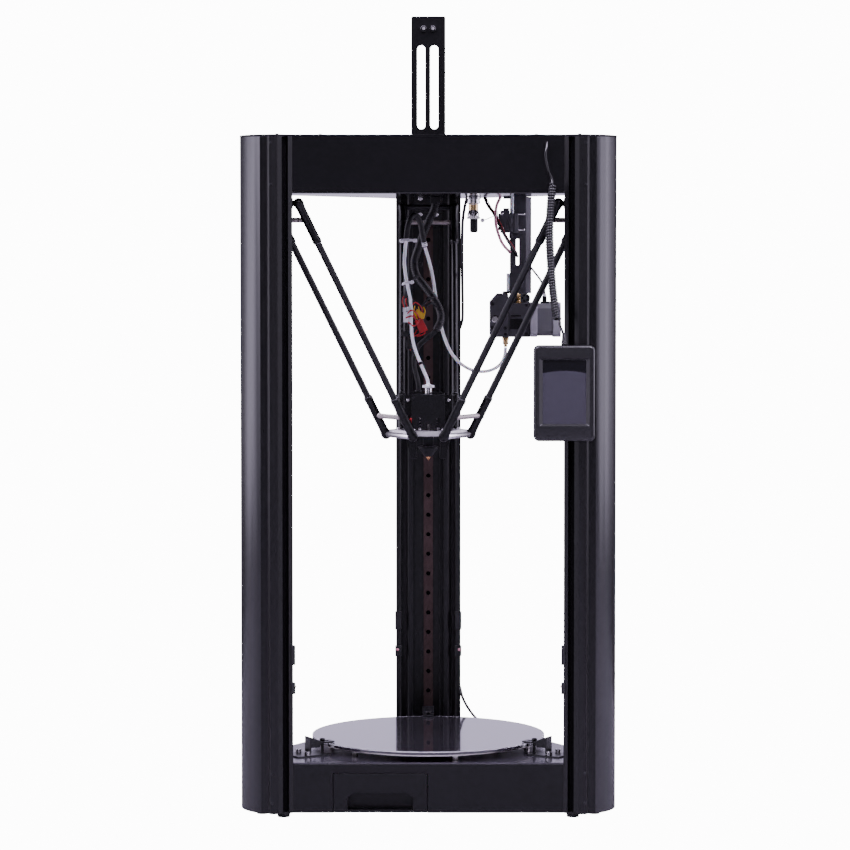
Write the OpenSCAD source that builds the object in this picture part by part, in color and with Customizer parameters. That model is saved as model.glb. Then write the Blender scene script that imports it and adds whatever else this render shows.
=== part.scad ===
// Delta printer: three columns with rails, a round bed and an effector on six arms.
// Millimetres, +Z up. The origin is under the middle of the machine, on the table.

/* [Frame] */
// Height of the frame between the feet and the top plate
column_h = 786; // [780:1:790]
// Distance from the delta axis to a column's flat inner face
column_r = 205; // [205:0.5:206]
// Width of a column's inner face
column_w = 82; // [82:1:84]
// Radius of the curved column covers
cover_r = 58; // [58:0.5:60]
// Sheet thickness of panels and plates
sheet = 2; // [1.5:0.5:2]
// Height of the top panels
top_h = 64; // [60:1:64]
// Height of the base, from the floor sheet to the deck's top
base_h = 59; // [59:1:60]
// Height of the rubber feet
foot_h = 5; // [4:0.5:6]

/* [Motion] */
// Length of an arm between its ball centres
arm_l = 315; // [314:1:316]
// Distance from the delta axis to the ball bars of the carriages
carriage_joint_r = 192.5; // [192:0.5:193]
// Distance from the delta axis to the ball bars of the effector
effector_joint_r = 40; // [40:0.5:41]
// Half the spacing of the two arms in a pair
arm_half = 32.5; // [32:0.5:33]
// Height of the carriage ball bars with the effector at its top
carriage_z = 714; // [713:1:715]
// Pitch radius of the belt pulleys
pulley_r = 6.2; // [6:0.1:6.2]

/* [Bed] */
// Radius of the glass plate
glass_r = 140; // [135:1:142]
// Thickness of the glass plate
glass_t = 4; // [3:0.5:4]
// Gap under the heat bed
bed_gap = 6.8; // [6:0.2:7]

/* [Display] */
// Width of the display case
display_w = 70; // [66:1:72]
// Height of the display case
display_h = 110; // [106:1:112]
// Thickness of the display case
display_t = 18; // [16:1:18]

/* [Drawer] */
// Width of the drawer front
drawer_w = 109; // [105:1:110]
// Height of the drawer front
drawer_h = 45.5; // [44:0.5:46]
// Depth of the drawer
drawer_d = 104; // [90:1:106]

/* [Hidden] */
$fn = 48;

// Directions of the towers and of the panels, seen from above
left = 210;
right = 330;
rear = 90;
towers = [left, right, rear];
panel_angles = [270, 30, 150];

// The box of the whole machine is centred on the origin, which puts the delta axis in front of it
cover_centre = 187;
plate_lip = 0.3;
cover_max = cover_centre + cover_r + plate_lip;
display_front = 175;
axis_y = (display_front - cover_max) / 2;

// Column section, in tower coordinates: x outwards, y along the column's face
half_w = column_w / 2;
channel_half = 19.7;
channel_d = 22;
channel_wall = 2.5;
slot_r0 = column_r + 5.6;
slot_r1 = column_r + 13.6;
slot_d = 5;
side_r = column_r + 19.4;
corner_r = column_r + 27.6;
corner_half = half_w - 4.7;
notch_half = corner_half - 5;
seam_r = column_r + 34;
seam_half = sqrt(cover_r * cover_r - pow(seam_r - cover_centre, 2));
chamber_r0 = column_r + 3;
chamber_r1 = column_r + 19;
chamber_y0 = channel_half + channel_wall;
chamber_y1 = half_w - slot_d - channel_wall;
back_r = column_r + 25;
groove_y0 = 27.3;
groove_y1 = 33.3;
groove_bevel = 2.6;
window_h = 53;

// Heights
z_column = foot_h;
z_top = foot_h + column_h;
z_plate = z_top + sheet;
z_ceiling = z_top - top_h;
z_ceiling_low = z_ceiling - sheet;
z_floor = foot_h + sheet;
z_deck = foot_h + base_h;

// The panels lie flush with the columns' inner corners
panel_r = column_r * cos(60) + half_w * sin(60);

// Rail and carriage
rail_w = 12;
rail_t = 8;
rail_z0 = 65;
rail_z1 = 740;
rail_r = column_r + channel_d;
rail_pitch = 25;
rail_hole_r = 3;
rail_hole_d = 4.5;
block_w = 27;
block_h = 45.4;
block_r = rail_r - 13;

// Belt drive: pulley and idler stand side by side with the rail
belt_y = -22;
belt_t = 1.4;
belt_r0 = column_r + 6;
belt_w = 6;
belt_gap = 0.3;
pulley_z = 35;
idler_z = 762;
flange_r = 8;
shaft_r = 2.5;
run_gap = 0.05;
motor_size = 42.3;
motor_r0 = 152;
motor_l = 40;

// Arms
arm_drop = sqrt(arm_l * arm_l - pow(carriage_joint_r - effector_joint_r, 2));
arm_tilt = asin((carriage_joint_r - effector_joint_r) / arm_l);
effector_z = carriage_z - arm_drop;
ball_r = 4;
bar_r = 3.4;
bar_half = arm_half - 4.5;
cup_gap = 0.3;
fitting_l = 52;
fitting_r = 5;
rod_r = 4;
spring_at = 23;
spring_r = 2.6;

// Effector heights
plate_z = effector_z + 0.1;
plate_t = 6;
shroud_z0 = plate_z + plate_t + 0.2;
shroud_z1 = effector_z + 49.3;
shroud_x = 19.75;
shroud_y0 = -25;
shroud_y1 = 12;
fan_z = (shroud_z0 + shroud_z1) / 2;
fan_y = -21.5;
nozzle_z = effector_z - 30;

// Bed heights
z_heater = z_deck + bed_gap;
z_glass = z_heater + 2.1;
z_bed_top = z_glass + glass_t;

// Bed clips, in tower coordinates
clip_z = z_bed_top + 0.4;
clip_sheet = 1.8;
clip_half = 7;
clip_bend_r = 148;
clip_leg_r = 163;
clip_rise = 7;
clip_travel = 6;
clip_stem_r = 145;
clip_stem_d = 3.6;
clip_plate_t = 1.6;
clip_plate_r0 = 142;
clip_plate_r1 = 186;
clip_lip = 8;
clip_screw_r = 171;
clip_screw_y = 11.5;

// Spool holder
spool_w = 40.8;
spool_h = 146;
spool_slot_w = 9.6;
spool_slot_x = [-8.4, 7.1];
spool_slot_z0 = 11.5;
spool_slot_z1 = 111.6;
spool_arm_l = 130;
spool_arm_z = 125;

// Display
display_x = 156;
display_z = 495.6;
display_back = -display_front + display_t;
display_corner = 6;
screen_w = 56.5;
screen_h = 78;
screen_dz = 4;

// Drawer
drawer_x = -56;
drawer_z = 5.5;
drawer_wall = 2;
drawer_gap = 0.6;
recess_w = 76.2;
recess_h = 20.2;
recess_d = 15;

// Extruder group, beside the delta axis
ext_y = 69;
ext_z0 = 554;
ext_z1 = 607;
wheel_x = 118;
wheel_z = 601.4;
wheel_r = 6.2;

// Cords: routes in millimetres from the delta axis
bowden_d = 4;
bowden_path = [
    [94.5, 69, 541], [93.5, 68.5, 531], [89, 67, 521.5], [80.5, 64, 515], [70, 60, 512],
    [58, 56, 512.5], [46.5, 51, 517], [36, 46, 525], [27.5, 42.5, 536], [21, 40.5, 550],
    [16, 39, 566], [12.5, 38, 583], [9.5, 35.5, 600], [7, 32, 617], [4, 27, 634],
    [0, 21, 650], [-4, 15, 664], [-7, 10, 678], [-9, 5, 690.5], [-12.5, -2, 699],
    [-17.5, -9.5, 701.5], [-22, -15.5, 696], [-25, -18.5, 685], [-26.5, -19, 671],
    [-28, -18, 657], [-28.5, -16, 643], [-27, -14, 629], [-24.5, -12, 615], [-21.5, -10, 601],
    [-20.5, -8.5, 586], [-20.5, -7, 571], [-19.5, -5.5, 557], [-16.5, -4, 543], [-11.5, -2.5, 529],
    [-6, -1, 516], [-1.5, 0, 506], [0, 0, 498.3]];
harness_path = [
    [9, 52, 725], [9, 52, 719], [6.5, 50, 708], [0.5, 47, 695], [-7, 43, 677], [-13, 39, 660], [-17, 34, 645],
    [-14.5, 29, 630], [-4.5, 25, 616], [6, 22, 602], [13.5, 20, 588], [15, 19, 575],
    [9.5, 18.5, 563], [-1, 18, 554], [-11, 17.5, 545], [-16.5, 17, 533], [-17, 16.5, 520],
    [-14, 16, 507], [-12, 15.5, 497], [-12, 15, 488.2]];
harness_wide = 10;
harness_thin = 6;
harness_wide_rings = 13;
lead_d = 3;
coil_d = 10;
lead_top_path = [[136.5, -142.5, 784], [136.2, -146.5, 778], [134.8, -149, 770], [136, -150.5, 760],
                 [138.5, -151, 750], [141.5, -151, 743], [143, -151, 737]];
coil_path = [[143, -151, 736], [140.7, -151.5, 712], [139.3, -152, 680], [140.7, -152.5, 648],
             [143, -153.5, 616], [146.3, -155.5, 592], [148.5, -158, 580]];
lead_low_path = [[149, -158.4, 579], [151.5, -160.5, 573], [154.5, -163, 565], [156, -164.5, 557],
                 [156, -165, 550.8]];

// Mains inlet, on the panel right of the rear column
inlet_angle = 30;
inlet_z = 34;
inlet_y = -18;
rocker_y = 22;
rocker_pin_r = 1.2;
rocker_pin_in = 1;

function unit(v) = v / norm(v);
function tangent(p, i) = unit(p[min(i + 1, len(p) - 1)] - p[max(i - 1, 0)]);
function side_of(t) = abs(t.z) < 0.9 ? [0, 0, 1] : [1, 0, 0];
function normal_at(p, i) =
    i == 0 ? unit(cross(tangent(p, 0), side_of(tangent(p, 0))))
           : let (n = normal_at(p, i - 1), t = tangent(p, i)) unit(n - (n * t) * t);
function ring(p, i, r, sides) =
    let (n = normal_at(p, i), b = cross(tangent(p, i), n))
    [for (k = [0:sides - 1]) p[i] + r * (cos(360 * k / sides) * n + sin(360 * k / sides) * b)];

// A tube along the points p, with one radius for each point
module swept_tube(p, radii, sides = 8) {
    rings = [for (i = [0:len(p) - 1]) ring(p, i, radii[i], sides)];
    points = [for (r = rings) each r];
    last = (len(p) - 1) * sides;
    walls = [for (i = [0:len(p) - 2], k = [0:sides - 1])
        let (a = i * sides + k, b = i * sides + (k + 1) % sides)
        each [[a, b + sides, b], [a, a + sides, b + sides]]];
    low_cap = [[for (k = [0:sides - 1]) k]];
    high_cap = [[for (k = [sides - 1:-1:0]) last + k]];
    translate([0, axis_y, 0]) polyhedron(points, concat(walls, low_cap, high_cap));
}

function constant(value, p) = [for (q = p) value];

// Children are drawn from the delta axis
module at_axis() {
    translate([0, axis_y, 0]) children();
}

// Children are drawn in tower coordinates: +X outwards at this angle
module at_angle(angle) {
    at_axis() rotate(angle) children();
}

module block(lo, hi) {
    translate(lo) cube(hi - lo);
}

// A cylinder from r0 to r1 along the tower's outward direction
module radial_rod(r0, r1, radius, y = 0, z = 0) {
    translate([r0, y, z]) rotate([0, 90, 0]) cylinder(h = r1 - r0, r = radius);
}

// A cylinder along the column's face
module face_rod(y0, y1, radius, x, z) {
    translate([x, y0, z]) rotate([-90, 0, 0]) cylinder(h = y1 - y0, r = radius);
}

// The region inside three panel planes at distance p and three column planes at distance c
module frame_outline(p, c) {
    reach = 2 * c;
    intersection_for (a = panel_angles) {
        intersection() {
            rotate(a) translate([-reach, -reach]) square([reach + p, 2 * reach]);
            rotate(a + 180) translate([-reach, -reach]) square([reach + c, 2 * reach]);
        }
    }
}

module rounded_rect(w, h, r) {
    square([w - 2 * r, h], center = true);
    square([w, h - 2 * r], center = true);
    for (sx = [-1, 1], sy = [-1, 1])
        translate([sx * (w / 2 - r), sy * (h / 2 - r)]) circle(r = r);
}

// ---------- columns ----------

module column_outline() {
    polygon([[column_r, -half_w], [side_r, -half_w], [corner_r, -corner_half], [corner_r, -notch_half],
             [seam_r, -seam_half], [seam_r, seam_half],
             [corner_r, notch_half], [corner_r, corner_half], [side_r, half_w], [column_r, half_w]]);
}

module column_section() {
    difference() {
        column_outline();
        translate([column_r - 1, -channel_half]) square([channel_d + 1, 2 * channel_half]);
        translate([back_r, -channel_half - 2]) square([seam_r, 2 * channel_half + 4]);
        for (s = [-1, 1]) scale([1, s]) {
            translate([slot_r0, half_w - slot_d]) square([slot_r1 - slot_r0, slot_d + 1]);
            translate([chamber_r0, chamber_y0])
                square([chamber_r1 - chamber_r0, chamber_y1 - chamber_y0]);
            polygon([[column_r - 1, groove_y0 - groove_bevel - 1], [column_r + groove_bevel, groove_y0],
                     [chamber_r0 + 1, groove_y0], [chamber_r0 + 1, groove_y1],
                     [column_r + groove_bevel, groove_y1], [column_r - 1, groove_y1 + groove_bevel + 1]]);
        }
    }
}

// Cut that lets the belt, its pulley and its idler stand in the column's wall
module belt_window() {
    window_y0 = -chamber_y1;
    window_y1 = -12;
    for (z = [z_column - 1, z_top - window_h + 4])
        translate([column_r - 1, window_y0, z])
            cube([chamber_r1 - column_r + 1, window_y1 - window_y0, window_h]);
}

module column(angle) {
    color([0.09, 0.085, 0.1]) at_angle(angle) difference() {
        translate([0, 0, z_floor]) linear_extrude(z_top - z_floor) column_section();
        belt_window();
    }
}

module column_left() { column(left); }
module column_right() { column(right); }
module column_rear() { column(rear); }

module cover_section() {
    intersection() {
        difference() {
            translate([cover_centre, 0]) circle(r = cover_r, $fn = 96);
            translate([cover_centre, 0]) circle(r = cover_r - 2.5, $fn = 96);
        }
        translate([seam_r, -half_w]) square([half_w, column_w]);
    }
}

module column_covers() {
    color([0.2, 0.19, 0.22]) for (a = towers)
        at_angle(a) translate([0, 0, z_column]) linear_extrude(column_h) cover_section();
}

module rail_section() {
    groove = 1;
    polygon([[rail_r, -rail_w / 2], [rail_r, rail_w / 2],
             [rail_r - 2.5, rail_w / 2], [rail_r - 3.5, rail_w / 2 - groove],
             [rail_r - 5, rail_w / 2 - groove], [rail_r - 6, rail_w / 2],
             [rail_r - rail_t, rail_w / 2], [rail_r - rail_t, -rail_w / 2],
             [rail_r - 6, -rail_w / 2], [rail_r - 5, -rail_w / 2 + groove],
             [rail_r - 3.5, -rail_w / 2 + groove], [rail_r - 2.5, -rail_w / 2]]);
}

module linear_rails() {
    holes = floor((rail_z1 - rail_z0) / rail_pitch);
    first = rail_z0 + 8;
    color([0.35, 0.31, 0.3]) for (a = towers) at_angle(a) difference() {
        translate([0, 0, rail_z0]) linear_extrude(rail_z1 - rail_z0) rail_section();
        for (i = [0:holes - 1])
            radial_rod(rail_r - rail_t - 1, rail_r - rail_t + rail_hole_d, rail_hole_r,
                       z = first + i * rail_pitch);
    }
}

// ---------- plates and panels ----------

module top_plate() {
    color([0.1, 0.095, 0.11]) at_axis() translate([0, 0, z_top]) linear_extrude(sheet) union() {
        frame_outline(panel_r + plate_lip, column_r + 1);
        for (a = towers) rotate(a) {
            column_outline();
            intersection() {
                translate([cover_centre, 0]) circle(r = cover_r + plate_lip, $fn = 96);
                translate([seam_r, -half_w]) square([half_w, column_w]);
            }
        }
    }
}

module panel_ring() {
    difference() {
        frame_outline(panel_r, column_r);
        frame_outline(panel_r - sheet, column_r + 1);
    }
}

module top_panels() {
    color([0.1, 0.095, 0.11]) at_axis()
        translate([0, 0, z_ceiling]) linear_extrude(top_h) panel_ring();
}

module ceiling_plate() {
    color([0.1, 0.095, 0.11]) at_axis() translate([0, 0, z_ceiling_low])
        linear_extrude(sheet) frame_outline(panel_r, column_r);
}

module base_deck() {
    color([0.1, 0.095, 0.11]) at_axis() translate([0, 0, z_deck - sheet])
        linear_extrude(sheet) frame_outline(panel_r, column_r);
}

module base_panels() {
    inlet_hole_w = 74;
    inlet_hole_h = 26;
    color([0.12, 0.115, 0.13]) at_axis() difference() {
        translate([0, 0, z_column]) linear_extrude(base_h - sheet) panel_ring();
        translate([drawer_x - drawer_w / 2 - drawer_gap, -panel_r - 1, z_column - 1])
            cube([drawer_w + 2 * drawer_gap, sheet + 2, drawer_h + drawer_gap + 1.5]);
        rotate(inlet_angle)
            translate([panel_r - sheet - 1, -inlet_hole_w / 2 + 2, inlet_z - inlet_hole_h / 2])
            cube([sheet + 2, inlet_hole_w, inlet_hole_h]);
    }
}

module base_floor() {
    color([0.12, 0.115, 0.13]) at_axis() translate([0, 0, z_column]) linear_extrude(sheet) union() {
        frame_outline(panel_r - sheet, column_r);
        for (a = towers) rotate(a) column_outline();
    }
}

module rubber_feet() {
    foot_r = 7.8;
    color([0.05, 0.05, 0.05]) for (a = towers) at_angle(a)
        for (p = [[column_r + 7.5, -31], [column_r + 7.5, 31], [column_r + 19, 0]])
            translate([p.x, p.y, 0]) cylinder(h = foot_h, r1 = foot_r - 0.8, r2 = foot_r);
}

module screw_head(r = 2.2, h = 1.2) {
    difference() {
        cylinder(h = h, r1 = r, r2 = r * 0.75);
        translate([0, 0, h / 2]) cylinder(h = h, r = r * 0.4, $fn = 6);
    }
}

module frame_screws() {
    screw_share = 0.8;
    color([0.25, 0.25, 0.27]) {
        at_axis() {
            for (a = panel_angles, s = [-1, 1]) rotate(a) {
                translate([panel_r - 12, s * 125, z_plate]) screw_head();
                translate([panel_r - 11, s * 125, z_column]) mirror([0, 0, 1]) screw_head(2.6, 1.4);
            }
        }
        for (a = towers, s = [-1, 1]) at_angle(a) translate([column_r + 14, s * 30, z_plate]) screw_head();
        for (a = towers, s = [-1, 1], z = [foot_h + 12.5, foot_h + 47.5, z_top - 56, z_top - 8])
            at_angle(a) translate([side_r + screw_share * (corner_r - side_r),
                                   s * (half_w - screw_share * (half_w - corner_half)), z])
                rotate([0, 0, -s * atan2(half_w - corner_half, corner_r - side_r)])
                    rotate([-s * 90, 0, 0]) screw_head(1.8, 0.6);
    }
}

// ---------- drive ----------

module motor_outline(size, corner) {
    h = size / 2;
    c = h - corner;
    polygon([[-h, -c], [-c, -h], [c, -h], [h, -c], [h, c], [c, h], [-c, h], [-h, c]]);
}

module tower_motors() {
    mount_t = 3;
    boss_r = 11;
    color([0.16, 0.16, 0.17]) for (a = towers) at_angle(a) {
        translate([0, belt_y, pulley_z]) {
            difference() {
                rotate([0, 90, 0]) translate([0, 0, motor_r0])
                    linear_extrude(motor_l) motor_outline(motor_size, 4);
                radial_rod(motor_r0 + 8, motor_r0 + motor_l + 1, shaft_r + run_gap);
            }
            difference() {
                translate([motor_r0 + motor_l, -21, -26]) cube([mount_t, 42, 52]);
                radial_rod(motor_r0 + motor_l - 1, motor_r0 + motor_l + mount_t + 1, boss_r);
            }
        }
        translate([motor_r0 + motor_l + mount_t, belt_y - 17, z_floor]) cube([8, 38, 2]);
    }
}

// The pulley and its shaft turn as one piece
module pulley(angle) {
    teeth = 20;
    color([0.75, 0.76, 0.78]) at_angle(angle) translate([0, belt_y, pulley_z]) {
        difference() {
            radial_rod(belt_r0 - 1.8, belt_r0 + belt_w + 1.8, pulley_r - belt_gap);
            for (i = [0:teeth - 1])
                rotate([i * 360 / teeth, 0, 0])
                    radial_rod(belt_r0 - 0.2, belt_r0 + belt_w + 0.2, 0.5, y = pulley_r - belt_gap);
        }
        radial_rod(belt_r0 - 1.8, belt_r0 - 0.3, flange_r);
        radial_rod(belt_r0 + belt_w + 0.3, belt_r0 + belt_w + 1.8, flange_r);
        radial_rod(motor_r0 + 10, belt_r0, shaft_r);
    }
}

module pulley_left() { pulley(left); }
module pulley_right() { pulley(right); }
module pulley_rear() { pulley(rear); }

module idler(angle) {
    color([0.75, 0.76, 0.78]) at_angle(angle) translate([0, belt_y, idler_z]) difference() {
        union() {
            radial_rod(belt_r0 - 1.8, belt_r0 + belt_w + 1.8, pulley_r - belt_gap);
            radial_rod(belt_r0 - 1.8, belt_r0 - 0.3, flange_r);
            radial_rod(belt_r0 + belt_w + 0.3, belt_r0 + belt_w + 1.8, flange_r);
        }
        radial_rod(belt_r0 - 3, belt_r0 + belt_w + 3, shaft_r + run_gap);
    }
}

module idler_left() { idler(left); }
module idler_right() { idler(right); }
module idler_rear() { idler(rear); }

module idler_brackets() {
    plate_h = 28;
    plate_w = 26;
    color([0.5, 0.5, 0.52]) for (a = towers) at_angle(a) translate([0, belt_y, idler_z]) {
        translate([column_r - 3, -plate_w / 2, -plate_h / 2]) cube([3, plate_w, plate_h]);
        radial_rod(column_r - 1, chamber_r1 - 0.5, shaft_r);
    }
}

module belt_loop(angle) {
    inner = pulley_r;
    outer = pulley_r + belt_t;
    rotate(angle) translate([belt_r0, belt_y, 0]) rotate([90, 0, 90]) linear_extrude(belt_w)
        difference() {
            union() {
                translate([0, pulley_z]) circle(r = outer);
                translate([0, idler_z]) circle(r = outer);
                translate([-outer, pulley_z]) square([2 * outer, idler_z - pulley_z]);
            }
            translate([0, pulley_z]) circle(r = inner);
            translate([0, idler_z]) circle(r = inner);
            translate([-inner, pulley_z]) square([2 * inner, idler_z - pulley_z]);
        }
}

module timing_belts() {
    color([0.07, 0.07, 0.07]) at_axis() for (a = towers) belt_loop(a);
}

module endstop_switches() {
    color([0.1, 0.1, 0.1]) for (a = towers) at_angle(a) {
        block([rail_r - 14, 8, z_ceiling + 16], [rail_r, 14.5, z_ceiling + 36]);
        block([rail_r - 9, 9, z_ceiling + 12.5], [rail_r - 6, 13, z_ceiling + 16]);
    }
}

// ---------- carriages and arms ----------

// Ball bar with its two balls, in tower coordinates
module ball_bar(x, z) {
    face_rod(-bar_half, bar_half, bar_r, x, z);
    face_rod(-arm_half, arm_half, 1.8, x, z);
    for (s = [-1, 1]) translate([x, s * arm_half, z]) sphere(r = ball_r);
}

module carriage(angle) {
    plate_half = 18.5;
    arm_z = 6;
    groove = 0.3;
    belt_slot_y0 = belt_y + pulley_r - 1.5;
    color([0.08, 0.08, 0.09]) at_angle(angle) {
        difference() {
            block([block_r, -block_w / 2, carriage_z - block_h / 2],
                  [rail_r - 1.5, block_w / 2, carriage_z + block_h / 2]);
            block([rail_r - rail_t - groove, -rail_w / 2 - groove, 0],
                  [rail_r, rail_w / 2 + groove, z_top]);
        }
        difference() {
            union() {
                block([column_r + 1, -plate_half, carriage_z - 18],
                      [block_r, plate_half, carriage_z + 18]);
                block([carriage_joint_r, -plate_half, carriage_z - arm_z],
                      [column_r + 1, plate_half, carriage_z + arm_z]);
                ball_bar(carriage_joint_r, carriage_z);
            }
            block([column_r + 4, belt_slot_y0, 0], [block_r + 1, belt_slot_y0 + 4.4, z_top]);
        }
    }
}

module carriage_left() { carriage(left); }
module carriage_right() { carriage(right); }
module carriage_rear() { carriage(rear); }

// One end of an arm: a cup round the ball and a sleeve that holds the rod
module arm_end(side) {
    difference() {
        union() {
            sphere(r = ball_r + 2);
            translate([0, 0, -fitting_l]) cylinder(h = fitting_l, r = fitting_r);
        }
        sphere(r = ball_r + cup_gap);
        rotate([side * 90, 0, 0]) cylinder(h = fitting_l, r = bar_r + cup_gap);
        translate([0, 0, -fitting_l - 1]) cylinder(h = 21, r = rod_r);
    }
}

module arms(angle) {
    color([0.1, 0.1, 0.11]) at_angle(angle)
        translate([carriage_joint_r, 0, carriage_z]) rotate([0, arm_tilt, 0]) {
            for (s = [-1, 1]) translate([0, s * arm_half, 0]) {
                arm_end(s);
                translate([0, 0, -arm_l]) mirror([0, 0, 1]) arm_end(s);
                translate([0, 0, -arm_l + fitting_l - 20])
                    cylinder(h = arm_l - 2 * fitting_l + 40, r = rod_r);
            }
            for (z = [-spring_at, -arm_l + spring_at])
                face_rod(-arm_half + fitting_r, arm_half - fitting_r, spring_r, 0, z);
        }
}

module arms_left() { arms(left); }
module arms_right() { arms(right); }
module arms_rear() { arms(rear); }

// ---------- effector ----------

module effector_plate() {
    effector_panel_r = 41.5;
    color([0.8, 0.8, 0.8]) at_axis() {
        difference() {
            translate([0, 0, plate_z]) linear_extrude(plate_t)
                frame_outline(effector_panel_r, effector_joint_r);
            translate([0, 0, plate_z - 1]) cylinder(h = plate_t + 2, r = 12);
            for (a = towers, s = [-1, 1]) rotate(a)
                translate([effector_joint_r - 9, s * arm_half, plate_z - 1])
                    cylinder(h = plate_t + 2, r = 2);
        }
        for (a = towers) rotate(a) ball_bar(effector_joint_r, effector_z);
    }
}

module hotend() {
    fin_count = 10;
    fin_pitch = 3.4;
    sink_z = effector_z + 11;
    block_z = effector_z - 14.5;
    block_hi = effector_z - 2.5;
    color([0.62, 0.5, 0.35]) at_axis() {
        translate([0, 0, sink_z]) cylinder(h = fin_count * fin_pitch + 1.2, r = 5);
        for (i = [0:fin_count]) translate([0, 0, sink_z + i * fin_pitch]) cylinder(h = 1.2, r = 10.5);
        translate([0, 0, block_hi]) cylinder(h = sink_z - block_hi, r = 2.5);
        block([-6.5, -7, block_z], [6.5, 11, block_hi]);
        translate([0, 0, block_z]) mirror([0, 0, 1]) rotate_extrude()
            polygon([[0, 0], [10.5, 0], [10.5, 2.5], [5, 11.5], [2.3, 12.6], [0.4, 15.5], [0, 15.5]]);
        translate([0, 0, shroud_z1 - 5]) cylinder(h = 11.5, r = 3.9);
        translate([0, 0, shroud_z1 + 6.5]) rotate_extrude()
            polygon([[0, 0], [7, 0], [7, 2.6], [3, 2.6], [3, 3.6], [0, 3.6]]);
    }
}

module shroud_slots() {
    for (x = [-12.2, 10.3])
        block([x, shroud_y0 - 1, effector_z + 4.5], [x + 3.4, shroud_y0 + 3, effector_z + 22]);
    block([-1.7, shroud_y0 - 1, effector_z + 5.5], [1.7, shroud_y0 + 3, effector_z + 14]);
}

module hotend_shroud() {
    wall = 1.6;
    ear_half = 29;
    ear_y0 = 8.5;
    duct_z1 = effector_z - 0.5;
    duct_z0 = nozzle_z + 2.6;
    color([0.07, 0.07, 0.08]) at_axis() {
        difference() {
            union() {
                block([-shroud_x, shroud_y0, shroud_z0], [shroud_x, shroud_y1, shroud_z1]);
                block([-ear_half, ear_y0, shroud_z0], [ear_half, shroud_y1, shroud_z1 - 2]);
            }
            block([-shroud_x + wall, shroud_y0 + wall, shroud_z0 - 1],
                  [shroud_x - wall, shroud_y1 + 1, shroud_z1 - wall]);
            translate([0, 0, shroud_z1 - 3]) cylinder(h = 4, r = 3.9);
            shroud_slots();
            for (s = [-1, 1]) translate([s * 24.5, ear_y0 - 1, effector_z + 41])
                rotate([-90, 0, 0]) cylinder(h = 6, r = 1.6);
        }
        for (s = [-1, 1]) scale([s, 1, 1]) difference() {
            translate([0, -13, 0]) rotate([90, 0, 0]) linear_extrude(12)
                polygon([[15, duct_z1], [27, duct_z1], [21, duct_z0], [13.5, duct_z0]]);
            translate([0, -15, 0]) rotate([90, 0, 0]) linear_extrude(8)
                polygon([[17, duct_z1 + 1], [25, duct_z1 + 1], [19.5, duct_z0 - 1], [15, duct_z0 - 1]]);
        }
    }
}

module hotend_fan() {
    blades = 7;
    blade_r = 15.5;
    color([0.12, 0.12, 0.12]) at_axis() translate([0, fan_y, fan_z]) rotate([-90, 0, 0]) {
        cylinder(h = 7, r = 7);
        for (i = [0:blades - 1]) rotate(i * 360 / blades)
            translate([6, 0, 3.5]) rotate([35, 0, 0]) translate([0, -0.6, -3]) cube([blade_r - 6, 1.2, 6]);
    }
}

// ---------- bed ----------

module heat_bed() {
    color([0.3, 0.3, 0.3]) at_axis() translate([0, 0, z_heater])
        cylinder(h = z_glass - z_heater, r = glass_r - 4, $fn = 96);
}

module glass_plate() {
    color([0.25, 0.24, 0.27]) at_axis() translate([0, 0, z_glass])
        cylinder(h = glass_t, r = glass_r, $fn = 96);
}

module bed_standoffs() {
    count = 6;
    color([0.7, 0.7, 0.7]) at_axis() for (i = [0:count - 1]) rotate(285 + i * 360 / count)
        translate([glass_r - 18, 0, z_deck]) cylinder(h = z_heater - z_deck, r = 3.5);
}

// Fixed part of a bed clip: base plate, two cap screws and the screw the claw slides under
module clip_brackets() {
    head_gap = 0.6;
    color([0.07, 0.07, 0.08]) for (a = towers) at_angle(a) {
        block([clip_plate_r0, -16, z_deck], [clip_plate_r1, 16, z_deck + clip_plate_t]);
        translate([clip_stem_r, 0, z_deck]) {
            cylinder(h = clip_z + clip_sheet + head_gap + 1 - z_deck, r = clip_stem_d / 2);
            translate([0, 0, clip_z + clip_sheet + head_gap - z_deck]) cylinder(h = 2.4, r = 3.1);
        }
        for (s = [-1, 1]) translate([clip_screw_r, s * clip_screw_y, z_deck + clip_plate_t]) difference() {
            cylinder(h = 4, r = 3.5);
            translate([0, 0, 2]) cylinder(h = 3, r = 1.7, $fn = 6);
        }
    }
}

// Outline drawn in r and z, given a thickness along the tower's face
module radial_plate(y0, y1) {
    translate([0, y1, 0]) rotate([90, 0, 0]) linear_extrude(height = y1 - y0) children();
}

// Bent-sheet claw that holds the glass's edge: slotted lip, sloping roof, side cheeks and leg
module bed_clip(angle) {
    slack = 0.5;
    cheek_z = z_deck + 9;
    leg_z = z_deck + clip_plate_t + slack;
    color([0.07, 0.07, 0.08]) at_angle(angle) {
        difference() {
            radial_plate(-clip_half, clip_half) polygon([
                [glass_r - clip_lip, clip_z], [clip_bend_r, clip_z], [clip_leg_r, clip_z + clip_rise],
                [clip_leg_r, leg_z], [clip_leg_r + clip_sheet, leg_z],
                [clip_leg_r + clip_sheet, clip_z + clip_rise + clip_sheet],
                [clip_bend_r, clip_z + clip_sheet], [glass_r - clip_lip, clip_z + clip_sheet]]);
            block([clip_stem_r - clip_travel - clip_stem_d / 2 - slack, -clip_stem_d / 2 - slack, clip_z - 1],
                  [clip_stem_r + clip_stem_d / 2 + slack, clip_stem_d / 2 + slack, clip_z + clip_sheet + 1]);
        }
        for (y = [-clip_half, clip_half - clip_sheet]) radial_plate(y, y + clip_sheet) polygon([
            [clip_bend_r + 1, clip_z + 1], [clip_leg_r + 0.9, clip_z + clip_rise + 0.9],
            [clip_leg_r + 0.9, cheek_z], [clip_bend_r + 4, cheek_z]]);
    }
}

module bed_clip_left() { bed_clip(left); }
module bed_clip_right() { bed_clip(right); }
module bed_clip_rear() { bed_clip(rear); }

// ---------- spool holder ----------

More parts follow.
